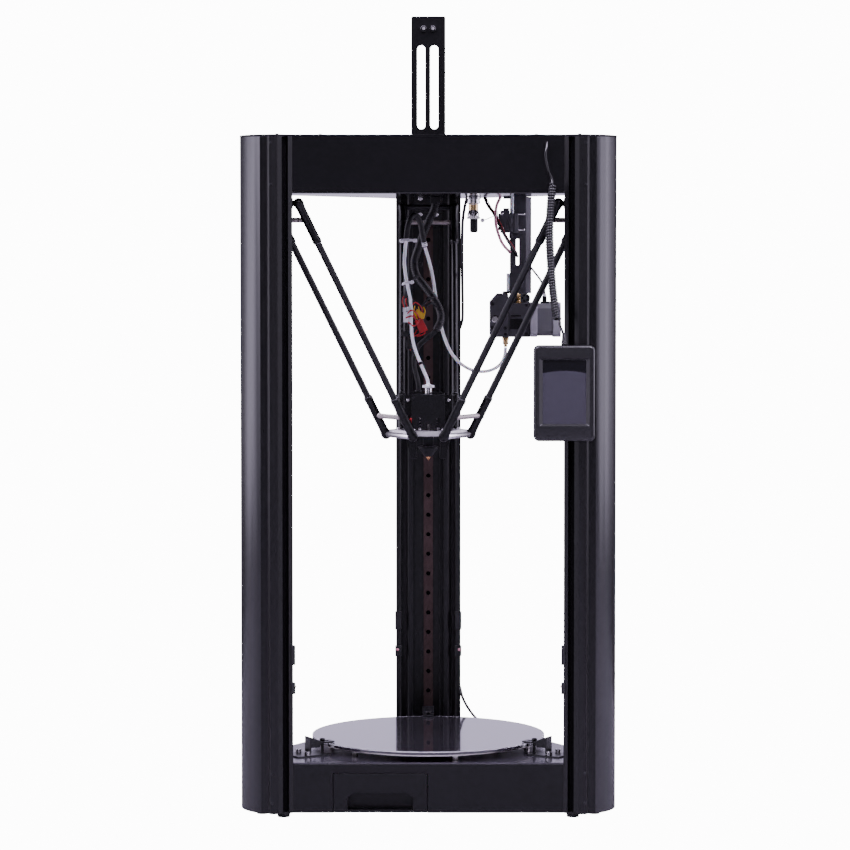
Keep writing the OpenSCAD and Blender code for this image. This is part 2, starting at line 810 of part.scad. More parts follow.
module spool_bracket() {
    bracket_t = 3;
    foot_l = 30;
    color([0.1, 0.1, 0.11]) at_axis() difference() {
        union() {
            translate([0, bracket_t, z_plate + spool_h / 2]) rotate([90, 0, 0])
                linear_extrude(bracket_t) rounded_rect(spool_w, spool_h, 2);
            block([-spool_w / 2, 0, z_plate], [spool_w / 2, foot_l, z_plate + bracket_t]);
        }
        for (x = spool_slot_x) translate([x, bracket_t + 1, z_plate]) rotate([90, 0, 0])
            linear_extrude(bracket_t + 2) {
                r = spool_slot_w / 2;
                translate([0, spool_slot_z0 + r]) circle(r = r);
                translate([0, spool_slot_z1 - r]) circle(r = r);
                translate([-r, spool_slot_z0 + r]) square([2 * r, spool_slot_z1 - spool_slot_z0 - 2 * r]);
            }
        for (x = [-12, 12]) translate([x, 17, z_plate - 1]) cylinder(h = 6, r = 2.6);
        for (x = [-5.5, 5.5]) translate([x, -1, z_plate + spool_arm_z + 6])
            rotate([-90, 0, 0]) cylinder(h = 6, r = 2.1);
    }
}

// Channel-shaped arm that carries the spool, with its two nuts on the front
module spool_arm() {
    arm_w = 23;
    arm_h = 12.5;
    wall = 2;
    y0 = 3;
    color([0.1, 0.1, 0.11]) at_axis() translate([0, 0, z_plate + spool_arm_z]) {
        difference() {
            block([-arm_w / 2, y0, 0], [arm_w / 2, y0 + spool_arm_l, arm_h]);
            block([-arm_w / 2 + wall, y0 + wall, wall], [arm_w / 2 - wall, y0 + spool_arm_l + 1, arm_h + 1]);
        }
        block([-arm_w / 2, y0 + spool_arm_l - 3, arm_h], [arm_w / 2, y0 + spool_arm_l, arm_h + 8]);
        for (x = [-5.5, 5.5]) translate([x, 0, 6]) rotate([90, 0, 0]) {
            cylinder(h = 3, r = 3.6, $fn = 6);
            translate([0, 0, -y0]) cylinder(h = 7.5, r = 2);
        }
    }
}

// ---------- display ----------

module display_outline(w, h, r) {
    rotate([90, 0, 0]) linear_extrude(display_t) rounded_rect(w, h, r);
}

module display_case() {
    color([0.11, 0.11, 0.12]) at_axis() translate([display_x, display_back, display_z]) difference() {
        display_outline(display_w, display_h, display_corner);
        translate([-screen_w / 2, -display_t - 1, -screen_h / 2 + screen_dz]) cube([screen_w, 3.2, screen_h]);
        block([-13, -5, -display_h], [13, 1, -3.9]);
    }
}

module display_screen() {
    color([0.25, 0.25, 0.27]) at_axis()
        translate([display_x - screen_w / 2 + 0.1, -display_front + 0.9,
                   display_z - screen_h / 2 + screen_dz + 0.1])
            cube([screen_w - 0.2, 1.3, screen_h - 0.2]);
}

// Holder between the right column's slot and the back of the display
module display_holder() {
    tongue = 4.6;
    holder_z0 = display_z - 45;
    holder_h = 62;
    color([0.08, 0.08, 0.09]) {
        at_angle(right) {
            block([slot_r0 + 0.5, -half_w - 1, holder_z0],
                  [slot_r1 - 0.5, -half_w + tongue, holder_z0 + holder_h]);
            block([column_r + 2, -half_w - 6, holder_z0], [column_r + 18, -half_w, holder_z0 + holder_h]);
        }
        at_axis() {
            block([display_x - 12.5, display_back - 4.5, display_z - 29.5],
                  [display_x + 12.5, display_back - 2, display_z - 4]);
            block([display_x - 10, display_back - 2.5, display_z - 29.5],
                  [display_x + 12, display_back + 1, display_z - 4]);
            block([display_x - 10, display_back + 0.5, display_z - 29.5],
                  [display_x + 14, -half_w * cos(60) - column_r * 0.5 - 23, display_z + 10]);
        }
    }
}

module display_lead() {
    color([0.05, 0.05, 0.05]) {
        swept_tube(lead_top_path, constant(lead_d / 2, lead_top_path));
        swept_tube(lead_low_path, constant(lead_d / 2, lead_low_path));
        at_axis() block([132.7, -panel_r - 5.5, 784], [140.3, -panel_r, z_top - 0.1]);
    }
}

module display_coil() {
    color([0.05, 0.05, 0.05]) swept_tube(coil_path, constant(coil_d / 2, coil_path), 12);
}

// ---------- electrics in the base ----------

module power_inlet() {
    mouth_w = 24;
    mouth_h = 16.5;
    mouth_d = 16;
    color([0.06, 0.06, 0.06]) at_angle(inlet_angle) difference() {
        union() {
            block([panel_r, -40, inlet_z - 15.5], [panel_r + 2, 40, inlet_z + 15.5]);
            block([panel_r - 26, -34, inlet_z - 12], [panel_r, 36, inlet_z + 12]);
        }
        block([panel_r + 2 - mouth_d, inlet_y - mouth_w / 2, inlet_z - mouth_h / 2],
              [panel_r + 3, inlet_y + mouth_w / 2, inlet_z + mouth_h / 2]);
        block([panel_r - 12, rocker_y - 11, inlet_z - 7], [panel_r + 3, rocker_y + 11, inlet_z + 7]);
        translate([panel_r - rocker_pin_in, rocker_y, inlet_z - 9]) cylinder(h = 18, r = rocker_pin_r + 0.3);
    }
}

// Rocker on two short pins in its well's walls
module power_rocker() {
    rocker_half = 10.4;
    color([0.6, 0.08, 0.06]) at_angle(inlet_angle) translate([panel_r, rocker_y, inlet_z]) {
        translate([0, 0, -6.6]) linear_extrude(13.2)
            polygon([[-7, -3], [-3, -rocker_half], [3.4, -rocker_half],
                     [1.8, 0], [3.4, rocker_half], [-3, rocker_half], [-7, 3]]);
        translate([-rocker_pin_in, 0, -8.6]) cylinder(h = 17.2, r = rocker_pin_r);
    }
}

module power_supply() {
    color([0.6, 0.6, 0.6]) at_axis() block([8, -126, z_floor], [98, -66, z_floor + 36]);
}

module mainboard() {
    color([0.1, 0.3, 0.15]) at_axis() {
        block([-60, -6, z_floor + 5], [60, 80, z_floor + 6.6]);
        for (x = [-54, 54], y = [0, 74]) translate([x, y, z_floor]) cylinder(h = 5, r = 2.5);
        for (i = [0:3]) block([-48 + i * 22, 10, z_floor + 6.6], [-34 + i * 22, 24, z_floor + 16]);
        block([-20, 40, z_floor + 6.6], [10, 60, z_floor + 10]);
    }
}

// ---------- drawer ----------

module drawer_recess_profile(grow) {
    arch = 6;
    w = recess_w / 2 + grow;
    h = recess_h + grow;
    polygon([[-w, -grow], [w, -grow], [w, h - arch], [w - arch, h], [-w + arch, h], [-w, h - arch]]);
}

module drawer() {
    y0 = -panel_r;
    tray_y0 = y0 + sheet;
    tray_z0 = z_floor + 0.3;
    tray_z1 = drawer_z + drawer_h - 2;
    half = drawer_w / 2;
    color([0.12, 0.115, 0.13]) at_axis() translate([drawer_x, 0, 0]) difference() {
        union() {
            block([-half, y0, drawer_z], [half, tray_y0, drawer_z + drawer_h]);
            block([-half + 2, tray_y0, tray_z0], [half - 2, y0 + drawer_d, tray_z1]);
        }
        difference() {
            block([-half + 2 + drawer_wall, tray_y0 + drawer_wall, tray_z0 + drawer_wall],
                  [half - 2 - drawer_wall, y0 + drawer_d - drawer_wall, tray_z1 + 1]);
            translate([0, y0 + recess_d + 2, tray_z0 + 1]) rotate([90, 0, 0])
                linear_extrude(recess_d) drawer_recess_profile(2);
        }
        translate([0, y0 + recess_d, tray_z0 + 1]) rotate([90, 0, 0])
            linear_extrude(recess_d + 1) drawer_recess_profile(0);
    }
}

// ---------- extruder ----------

module extruder_bracket() {
    slot_x = 108.9;
    slot_r = 1.8;
    color([0.15, 0.15, 0.16]) at_axis() difference() {
        union() {
            translate([0, 0, ext_z1]) linear_extrude(z_ceiling_low - ext_z1)
                polygon([[99.5, ext_y - 3], [119.2, ext_y - 3], [126.2, ext_y + 9], [123.6, ext_y + 10.5],
                         [117.5, ext_y], [99.5, ext_y]]);
            block([92, ext_y - 3, z_ceiling_low - 2.5], [116, ext_y + 14, z_ceiling_low]);
        }
        translate([slot_x, ext_y + 1, 0]) rotate([90, 0, 0]) linear_extrude(5) {
            translate([0, 643]) circle(r = slot_r);
            translate([0, 672]) circle(r = slot_r);
            translate([-slot_r, 643]) square([2 * slot_r, 29]);
        }
    }
}

module extruder_body() {
    window_x = 81;
    window_z = 576;
    color([0.13, 0.13, 0.14]) at_axis() difference() {
        union() {
            translate([0, ext_y + 19, 0]) rotate([90, 0, 0]) linear_extrude(38)
                polygon([[75, ext_z0], [98, ext_z0], [98, ext_z1], [84, ext_z1], [75, ext_z1 - 10]]);
            block([98, ext_y - 17, ext_z0], [124, ext_y + 17, ext_z0 + 43]);
            block([99.5, ext_y - 3, ext_z0 + 43], [119.2, ext_y + 3, ext_z1]);
            translate([94.5, ext_y, 541]) cylinder(h = 14, r = 4.2);
            translate([94.5, ext_y, ext_z1]) cylinder(h = 3, r = 5.5);
            translate([94.5, ext_y, ext_z1]) cylinder(h = 24.5, r = 2.2);
        }
        translate([window_x, ext_y - 20, window_z]) rotate([-90, 0, 0]) cylinder(h = 4, r = 4.5);
        block([99.8, ext_y - 18, 564], [114.6, ext_y - 9, 576]);
        translate([wheel_x, ext_y - 4, wheel_z]) rotate([-90, 0, 0]) cylinder(h = 8, r = 1.05);
        translate([wheel_x, ext_y - 14.5, wheel_z]) rotate([-90, 0, 0]) cylinder(h = 5, r = wheel_r + 0.4);
    }
}

// Spoked knob on a thin axle
module thumbwheel() {
    spokes = 5;
    axle_r = 1;
    color([0.08, 0.08, 0.08]) at_axis() translate([wheel_x, ext_y, wheel_z]) rotate([90, 0, 0]) {
        translate([0, 0, 10]) difference() {
            cylinder(h = 4, r = wheel_r);
            translate([0, 0, -1]) cylinder(h = 6, r = wheel_r - 1.5);
        }
        translate([0, 0, 10]) cylinder(h = 4, r = 2);
        for (i = [0:spokes - 1]) rotate(i * 360 / spokes)
            translate([1.5, -0.5, 10.5]) cube([wheel_r - 2.3, 1, 3]);
        translate([0, 0, -1]) cylinder(h = 12, r = axle_r);
    }
}

module extruder_motor() {
    color([0.2, 0.2, 0.21]) at_axis() {
        translate([124, ext_y, ext_z0 + 21.2]) rotate([0, 90, 0]) linear_extrude(37.5) motor_outline(42.3, 4);
        block([138, ext_y - 7, ext_z0 + 42.2], [145, ext_y + 7, ext_z0 + 49]);
    }
}

module filament_sensor() {
    color([0.13, 0.13, 0.14]) at_axis() {
        block([85.4, ext_y - 13, 680.5], [99.5, ext_y + 5, 709]);
        block([99.5, ext_y - 10, 680.5], [109, ext_y - 3, 704.6]);
        translate([102.3, ext_y - 6.5, 704.6]) cylinder(h = z_ceiling_low - 704.6, r = 2);
    }
}

module harness_socket() {
    color([0.7, 0.68, 0.62]) at_axis() translate([55, 30, z_ceiling_low]) mirror([0, 0, 1]) {
        cylinder(h = 4, r = 8.7);
        translate([0, 0, 4]) cylinder(h = 24, r = 7.2);
        translate([0, 0, 28]) cylinder(h = 22, r = 6);
    }
}

module harness() {
    radii = [for (i = [0:len(harness_path) - 1])
        (i < harness_wide_rings ? harness_wide : harness_thin) / 2];
    color([0.05, 0.05, 0.05]) swept_tube(harness_path, radii);
}

module bowden_tube() {
    color([0.9, 0.9, 0.92]) swept_tube(bowden_path, constant(bowden_d / 2, bowden_path));
}

column_left();
column_right();
column_rear();
column_covers();
linear_rails();
top_plate();
top_panels();
ceiling_plate();
base_deck();
base_panels();
base_floor();
rubber_feet();
frame_screws();
tower_motors();
idler_brackets();
timing_belts();
endstop_switches();
heat_bed();
glass_plate();
bed_standoffs();
clip_brackets();
spool_bracket();
spool_arm();
display_holder();
display_lead();
display_coil();
power_inlet();
power_supply();
mainboard();
extruder_bracket();
extruder_body();
extruder_motor();
filament_sensor();
harness_socket();
harness();
bowden_tube();
carriage_left();
carriage_right();
carriage_rear();
arms_left();
arms_right();
arms_rear();
effector_plate();
hotend();
hotend_shroud();
hotend_fan();
pulley_left();
pulley_right();
pulley_rear();
idler_left();
idler_right();
idler_rear();
bed_clip_left();
bed_clip_right();
bed_clip_rear();
drawer();
display_case();
display_screen();
power_rocker();
thumbwheel();
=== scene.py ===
"""Delta printer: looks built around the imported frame. Metres, in the frame's own coordinates."""
import math

import bmesh
import bpy
from mathutils import Matrix, Vector


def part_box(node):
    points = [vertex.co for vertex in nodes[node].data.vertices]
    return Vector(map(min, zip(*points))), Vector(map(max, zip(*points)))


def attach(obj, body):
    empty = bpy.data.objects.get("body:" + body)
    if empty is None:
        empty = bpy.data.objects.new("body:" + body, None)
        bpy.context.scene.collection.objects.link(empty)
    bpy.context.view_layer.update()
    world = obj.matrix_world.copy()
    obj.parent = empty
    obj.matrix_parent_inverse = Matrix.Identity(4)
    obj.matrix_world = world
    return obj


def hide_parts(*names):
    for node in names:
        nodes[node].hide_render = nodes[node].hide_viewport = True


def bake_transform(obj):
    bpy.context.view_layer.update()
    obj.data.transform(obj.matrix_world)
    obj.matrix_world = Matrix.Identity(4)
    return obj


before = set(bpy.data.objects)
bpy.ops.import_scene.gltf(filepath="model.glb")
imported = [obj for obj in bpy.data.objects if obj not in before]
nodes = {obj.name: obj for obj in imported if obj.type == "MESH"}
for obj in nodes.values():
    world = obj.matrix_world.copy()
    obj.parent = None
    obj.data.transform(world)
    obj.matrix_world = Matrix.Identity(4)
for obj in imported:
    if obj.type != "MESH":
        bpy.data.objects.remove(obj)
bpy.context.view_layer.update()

MM = 0.001


# ---------- places, from the frame ----------

def centre(node):
    low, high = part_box(node)
    return (low + high) / 2


def top_of(node):
    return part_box(node)[1].z


def bottom_of(node):
    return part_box(node)[0].z


AXIS = Vector((0, centre("glass_plate").y, 0))
LEFT, RIGHT, REAR = 210, 330, 90
TOWERS = {"left": LEFT, "right": RIGHT, "rear": REAR}
GLASS_TOP = top_of("glass_plate")
glass_low, glass_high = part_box("glass_plate")
GLASS_R = (glass_high.x - glass_low.x) / 2 / MM
CEILING = bottom_of("ceiling_plate")

# The arms, in millimetres and tower coordinates
ARM_LENGTH = 315
CARRIAGE_JOINT_R = 192.5
EFFECTOR_JOINT_R = 40
ARM_HALF = 32.5
CARRIAGE_Z = centre("carriage_rear").z / MM
ARM_DROP = math.sqrt(ARM_LENGTH ** 2 - (CARRIAGE_JOINT_R - EFFECTOR_JOINT_R) ** 2)
EFFECTOR_Z = CARRIAGE_Z - ARM_DROP


def from_axis(x, y, z):
    """A point given in millimetres from the delta axis."""
    return Vector((x * MM, AXIS.y + y * MM, z * MM))


# Pieces are drawn in millimetres from the delta axis, or in a tower's coordinates, and placed by these
DELTA = Matrix.Translation(AXIS) @ Matrix.Scale(MM, 4)


def tower_place(angle):
    return Matrix.Translation(AXIS) @ Matrix.Rotation(math.radians(angle), 4, "Z") @ Matrix.Scale(MM, 4)


# ---------- camera ----------

CAMERA_DISTANCE = 3.73
CAMERA_HEIGHT = 0.657
CAMERA_TILT = 2.553
FOCAL_LENGTH = 131.57788
SENSOR = 36
LENS_SHIFT = (-0.0039, -0.04)

camera_data = bpy.data.cameras.new("camera")
camera_data.sensor_width = SENSOR
camera_data.lens = FOCAL_LENGTH
camera_data.shift_x, camera_data.shift_y = LENS_SHIFT
camera_data.clip_end = 100
camera = bpy.data.objects.new("camera", camera_data)
camera.location = (0, AXIS.y - CAMERA_DISTANCE, CAMERA_HEIGHT)
camera.rotation_euler = (math.pi / 2 - math.radians(CAMERA_TILT), 0, 0)
bpy.context.scene.collection.objects.link(camera)
bpy.context.scene.camera = camera


# ---------- materials ----------

def set_inputs(node, **inputs):
    for key, value in inputs.items():
        node.inputs[key.replace("_", " ")].default_value = value


def shader_of(material):
    return material.node_tree.nodes["Principled BSDF"]


def new_material(name, color, rough, metallic=0.0, specular=0.5, coat=0.0, coat_rough=0.1):
    material = bpy.data.materials.new(name)
    material.use_nodes = True
    set_inputs(shader_of(material), Base_Color=(*color, 1), Roughness=rough, Metallic=metallic,
               Specular_IOR_Level=specular, Coat_Weight=coat, Coat_Roughness=coat_rough)
    return material


def add_node(material, kind, **inputs):
    node = material.node_tree.nodes.new(kind)
    set_inputs(node, **inputs)
    return node


def calculate(material, operation, *values):
    """A maths node; each value is a number or another node's output."""
    node = add_node(material, "ShaderNodeMath")
    node.operation = operation
    for socket, value in zip(node.inputs, values):
        if isinstance(value, (int, float)):
            socket.default_value = value
        else:
            link(material, value, socket)
    return node.outputs[0]


def link(material, source, target):
    material.node_tree.links.new(source, target)


def coordinates(material, stretch=(1, 1, 1), uv=False):
    """Object coordinates in metres, or the mesh's UV, scaled along each axis."""
    texture = add_node(material, "ShaderNodeTexCoord")
    mapping = add_node(material, "ShaderNodeMapping")
    mapping.inputs["Scale"].default_value = stretch
    link(material, texture.outputs["UV" if uv else "Object"], mapping.inputs["Vector"])
    return mapping.outputs["Vector"]


def noise(material, vector, scale, detail=4.0, roughness=0.55):
    node = add_node(material, "ShaderNodeTexNoise", Scale=scale, Detail=detail, Roughness=roughness)
    link(material, vector, node.inputs["Vector"])
    return node.outputs["Fac"]


# The spread of a noise node's values that the looks are stretched over
NOISE_LOW, NOISE_HIGH = 0.25, 0.75
RAMP_STOPS = (0.3, 0.7)


def remap(material, value, low, high):
    node = add_node(material, "ShaderNodeMapRange", From_Min=NOISE_LOW, From_Max=NOISE_HIGH,
                    To_Min=low, To_Max=high)
    link(material, value, node.inputs["Value"])
    return node.outputs["Result"]


def vary_color(material, value, dark, light):
    ramp = add_node(material, "ShaderNodeValToRGB")
    for stop, position, color in zip(ramp.color_ramp.elements, RAMP_STOPS, (dark, light)):
        stop.position = position
        stop.color = (*color, 1)
    link(material, value, ramp.inputs["Fac"])
    link(material, ramp.outputs["Color"], shader_of(material).inputs["Base Color"])


def vary_rough(material, value, low, high):
    link(material, remap(material, value, low, high), shader_of(material).inputs["Roughness"])


def bump(material, value, strength, distance):
    node = add_node(material, "ShaderNodeBump", Strength=strength, Distance=distance)
    link(material, value, node.inputs["Height"])
    link(material, node.outputs["Normal"], shader_of(material).inputs["Normal"])


def shade(color, factor, limit=math.inf):
    return tuple(min(limit, c * factor) for c in color)


def grained(name, color, rough, spread=0.25, grain=1400, depth=0.05, stretch=(1, 1, 1), **extra):
    """Paint, plastic or rubber: fine surface grain with slow changes in colour and gloss."""
    material = new_material(name, color, rough, **extra)
    slow = noise(material, coordinates(material, stretch), 22, 3)
    fine = noise(material, coordinates(material, stretch), grain, 2)
    vary_color(material, slow, shade(color, 1 - spread), shade(color, 1 + spread))
    vary_rough(material, fine, rough * 0.82, min(1.0, rough * 1.18))
    bump(material, fine, depth, 0.0002)
    return material


def brushed(name, color, rough, along=(1, 1, 0.02), grain=2200, spread=0.15, depth=0.04):
    """Metal with fine lines along one axis."""
    material = new_material(name, color, rough, metallic=1.0)
    lines = noise(material, coordinates(material, along), grain, 3)
    slow = noise(material, coordinates(material), 30, 3)
    vary_color(material, slow, shade(color, 1 - spread), shade(color, 1 + spread, 1))
    vary_rough(material, lines, rough * 0.75, rough * 1.25)
    bump(material, lines, depth, 0.0001)
    return material


def glass_material():
    material = new_material("bed_glass", (0.02, 0.018, 0.024), 0.12, specular=0.6, coat=1.0, coat_rough=0.03)
    specks = noise(material, coordinates(material), 700, 5)
    vary_color(material, specks, (0.016, 0.014, 0.019), (0.03, 0.027, 0.034))
    vary_rough(material, specks, 0.1, 0.2)
    return material


# The painted reflection on the screen: how its arched line bends, how far below the top it sits, and how soft
# it is.
REFLECTION_BEND = 0.25
REFLECTION_TOP = 0.2
REFLECTION_BLUR = 0.003


def painted_reflection_screen_material():
    """Switched-off screen: black glass, with a painted reflection: paler below an arched line."""
    material = new_material("screen_glass_painted_reflection", (0.006, 0.006, 0.008), 0.06, specular=0.2)
    low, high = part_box("display_screen")
    middle, reach = (low.x + high.x) / 2, high.x - low.x
    where = add_node(material, "ShaderNodeTexCoord").outputs["Object"]
    parts = add_node(material, "ShaderNodeSeparateXYZ")
    link(material, where, parts.inputs[0])
    across = calculate(material, "SUBTRACT", parts.outputs["X"], middle)
    bend = calculate(material, "POWER", across, 2)
    arch = calculate(material, "MULTIPLY_ADD", bend, REFLECTION_BEND / reach, parts.outputs["Z"])
    edge = high.z - REFLECTION_TOP * (high.z - low.z)
    reflection_field = add_node(material, "ShaderNodeMapRange", From_Min=edge, From_Max=edge - REFLECTION_BLUR)
    link(material, arch, reflection_field.inputs["Value"])
    # Painted reflection: pale below the arched line, dark above it.
    vary_color(material, reflection_field.outputs["Result"], (0.004, 0.004, 0.0055), (0.045, 0.042, 0.055))
    vary_rough(material, noise(material, coordinates(material), 60, 4), 0.045, 0.085)
    return material


def rim_highlight_material():
    """Ground edge of the glass, in a near-white colour that paints the highlight it catches."""
    material = new_material("glass_rim_painted_highlight", (0.85, 0.83, 0.9), 0.25, specular=0.6, coat=0.6)
    ripple = noise(material, coordinates(material, (1, 1, 3)), 160, 3)
    vary_color(material, ripple, (0.75, 0.73, 0.8), (0.92, 0.9, 0.96))
    vary_rough(material, ripple, 0.18, 0.32)
    return material


def carbon_material():
    """Pulled carbon rod: lines along the rod and a clear coat."""
    material = new_material("carbon_rod", (0.005, 0.005, 0.006), 0.3, specular=0.35, coat=0.15,
                            coat_rough=0.12)
    lines = noise(material, coordinates(material, (90, 4, 1), uv=True), 6, 4)
    vary_color(material, lines, (0.0015, 0.0015, 0.002), (0.009, 0.0087, 0.01))
    vary_rough(material, lines, 0.22, 0.4)
    bump(material, lines, 0.12, 0.0002)
    return material


black = {
    "column": grained("column_black", (0.0012, 0.001, 0.0016), 0.33, specular=0.42, grain=900,
                      stretch=(1, 1, 0.05)),
    "cover": grained("cover_black", (0.006, 0.0056, 0.0075), 0.34, grain=1500, depth=0.06,
                     stretch=(1, 1, 0.3)),
    "panel": grained("panel_black", (0.0015, 0.0013, 0.002), 0.4, specular=0.36, grain=1800, depth=0.1),
    "top": grained("top_black", (0.0012, 0.001, 0.0016), 0.42, specular=0.2, grain=1800, depth=0.1),
    # Deck: satin black, its base colour lifted far above the other blacks as a painted reflection of the
    # bright studio.
    "deck": grained("deck_black_painted_reflection", (0.027, 0.0245, 0.033), 0.2, specular=0.9, grain=1800, depth=0.03),
    "ceiling": grained("ceiling_black", (0.0035, 0.0032, 0.0044), 0.1, specular=0.8,
                       grain=1800, depth=0.03),
    # Near matte black: painted shade for the strips in the column slots, and also the dark rail screws.
    "slot": grained("slot_shade_and_screw_black", (0.0012, 0.001, 0.0014), 0.85, specular=0.06, grain=900),
    "display": grained("display_black", (0.004, 0.0038, 0.005), 0.3, specular=0.65,
                       grain=1600, depth=0.1),
    "plastic": grained("plastic_black", (0.0048, 0.0047, 0.0058), 0.34, grain=1600, depth=0.12),
    "extruder": grained("extruder_grey", (0.042, 0.04, 0.047), 0.42, grain=1500, depth=0.12),
    "bracket": grained("bracket_grey", (0.04, 0.038, 0.045), 0.55, specular=0.25,
                       grain=1500, depth=0.12),
    "wheel": grained("wheel_grey", (0.05, 0.049, 0.055), 0.4, grain=1500, depth=0.1),
    "fitting": grained("fitting_black", (0.0015, 0.0014, 0.0019), 0.3, specular=0.34,
                       grain=1300, depth=0.08),
    "clip": grained("clip_black", (0.005, 0.005, 0.006), 0.3, grain=1200),
    "rubber": grained("rubber_black", (0.0045, 0.0045, 0.0055), 0.72, grain=900, depth=0.2),
    "lead": grained("lead_black", (0.0025, 0.0025, 0.0034), 0.24, grain=900, depth=0.05),
    "coil": grained("coil_black", (0.0025, 0.0024, 0.0032), 0.16, specular=0.75, grain=900, depth=0.03),
    "sleeve": grained("sleeve_black", (0.0032, 0.0031, 0.004), 0.36, grain=900, depth=0.05),
    "motor": grained("motor_black", (0.008, 0.008, 0.0095), 0.4, grain=1400),
}
steel = brushed("rail_steel", (0.085, 0.058, 0.056), 0.45)
chrome = brushed("chrome", (0.82, 0.8, 0.8), 0.12, grain=600, spread=0.04, depth=0.01)
aluminium = brushed("aluminium", (0.78, 0.74, 0.73), 0.3, along=(0.05, 1, 1), grain=1800)
bright_alu = brushed("bright_alu", (0.92, 0.9, 0.92), 0.33, along=(0.05, 1, 1), grain=1500, spread=0.04,
                     depth=0.02)
brass = brushed("brass", (0.72, 0.52, 0.25), 0.25, spread=0.1)
copper = brushed("copper", (0.83, 0.42, 0.2), 0.25, spread=0.12)
screw_black = grained("screw_black", (0.02, 0.02, 0.022), 0.3, metallic=0.6)
white_plastic = grained("white_plastic", (0.92, 0.91, 0.95), 0.35, spread=0.03, grain=700, depth=0.04)
tube_white = grained("tube_white", (0.94, 0.93, 0.97), 0.28, spread=0.03, grain=400, depth=0.03)
set_inputs(shader_of(tube_white), Subsurface_Weight=0.15)
board = grained("board_green", (0.02, 0.12, 0.05), 0.3, grain=700)
red_plastic = grained("red_plastic", (0.4, 0.006, 0.01), 0.35, spread=0.1)
red_dark = grained("red_dark", (0.22, 0.012, 0.02), 0.4, spread=0.1)
yellow_wire = grained("yellow_wire", (0.72, 0.45, 0.02), 0.4, spread=0.06)
pink_wire = grained("pink_wire", (0.62, 0.3, 0.36), 0.4, spread=0.06)
rocker_red = grained("rocker_red", (0.45, 0.02, 0.015), 0.3, spread=0.08)
steel_light = brushed("steel_light", (0.86, 0.84, 0.86), 0.24, grain=900, spread=0.05, depth=0.01)
spring_steel = brushed("spring_steel", (0.62, 0.57, 0.56), 0.5, grain=900, spread=0.08, depth=0.01)
motor_grey = grained("motor_grey", (0.3, 0.29, 0.32), 0.42, grain=1500, depth=0.1)
stack_grey = grained("stack_grey", (0.1, 0.098, 0.108), 0.5, grain=1500, depth=0.1)
clamp_grey = grained("clamp_grey", (0.09, 0.088, 0.098), 0.45, grain=1500, depth=0.1)
screen_glass_painted_reflection = painted_reflection_screen_material()
bed_glass = glass_material()
glass_rim_painted_highlight = rim_highlight_material()
carbon = carbon_material()


# ---------- mesh helpers ----------

def round_edges(piece, width, angle, segments=2):
    modifier = piece.modifiers.new("round_edges", "BEVEL")
    modifier.width = width
    modifier.segments = segments
    modifier.limit_method = "ANGLE"
    modifier.angle_limit = math.radians(angle)
    modifier.harden_normals = True


def finish_mesh(name, bm, material, body, matrix=None, bevel=0.0, segments=2, smooth_angle=32,
                replaces=(), slot=None):
    """Turns a bmesh into a piece that rides on a body; a bevel, in millimetres, rounds its edges."""
    if matrix is not None:
        bm.transform(matrix)
    bmesh.ops.recalc_face_normals(bm, faces=bm.faces)
    mesh = bpy.data.meshes.new(name)
    bm.to_mesh(mesh)
    bm.free()
    for polygon in mesh.polygons:
        polygon.use_smooth = True
    mesh.set_sharp_from_angle(angle=math.radians(smooth_angle))
    mesh.materials.append(material)
    piece = bpy.data.objects.new(name, mesh)
    bpy.context.scene.collection.objects.link(piece)
    if bevel:
        round_edges(piece, bevel * MM, smooth_angle, segments)
    if body:
        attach(piece, body)
    if replaces:
        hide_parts(*replaces)
    return piece


def add_piece(name, bm, material, body="frame", **extra):
    """A piece drawn in millimetres from the delta axis."""
    return finish_mesh(name, bm, material, body, DELTA, **extra)


def prism(outline, low, high):
    """A bmesh: the outline (x, y points, counter-clockwise) from z = low to z = high."""
    bm = bmesh.new()
    lower = [bm.verts.new((x, y, low)) for x, y in outline]
    upper = [bm.verts.new((x, y, high)) for x, y in outline]
    bm.faces.new(lower[::-1])
    bm.faces.new(upper)
    for i in range(len(outline)):
        j = (i + 1) % len(outline)
        bm.faces.new((lower[i], lower[j], upper[j], upper[i]))
    return bm


def block(low, high):
    x0, y0, z0 = low
    x1, y1, z1 = high
    return prism([(x0, y0), (x1, y0), (x1, y1), (x0, y1)], z0, z1)


def join(*parts):
    """One bmesh from several, which are freed."""
    whole = parts[0]
    for part in parts[1:]:
        mesh = bpy.data.meshes.new("part")
        part.to_mesh(mesh)
        part.free()
        whole.from_mesh(mesh)
        bpy.data.meshes.remove(mesh)
    return whole


def moved(bm, matrix):
    bm.transform(matrix)
    return bm


def lathe(profile, sides=32):
    """A bmesh turned about Z from (radius, z) points; a radius of 0 closes an end."""
    bm = bmesh.new()
    rings = []
    for radius, z in profile:
        if radius == 0:
            rings.append([bm.verts.new((0, 0, z))])
        else:
            turn = 2 * math.pi / sides
            rings.append([bm.verts.new((radius * math.cos(i * turn), radius * math.sin(i * turn), z))
                          for i in range(sides)])
    for a, b in zip(rings, rings[1:]):
        for i in range(sides):
            j = (i + 1) % sides
            corners = [a[i % len(a)], a[j % len(a)], b[j % len(b)], b[i % len(b)]]
            kept = list(dict.fromkeys(corners))
            if len(kept) > 2:
                bm.faces.new(kept)
    for ring in (rings[0], rings[-1]):
        if len(ring) > 1:
            bm.faces.new(ring)
    return bm


def smooth_path(points, step):
    """A smooth curve through the points, with a point about every step."""
    p = [Vector(q) for q in points]
    p = [2 * p[0] - p[1]] + p + [2 * p[-1] - p[-2]]
    path = []
    for a, b, c, d in zip(p, p[1:], p[2:], p[3:]):
        count = max(2, round((c - b).length / step))
        for i in range(count):
            t = i / count
            path.append(0.5 * (2 * b + (c - a) * t + (2 * a - 5 * b + 4 * c - d) * t * t
                               + (3 * b - a - 3 * c + d) * t ** 3))
    path.append(p[-2])
    return path


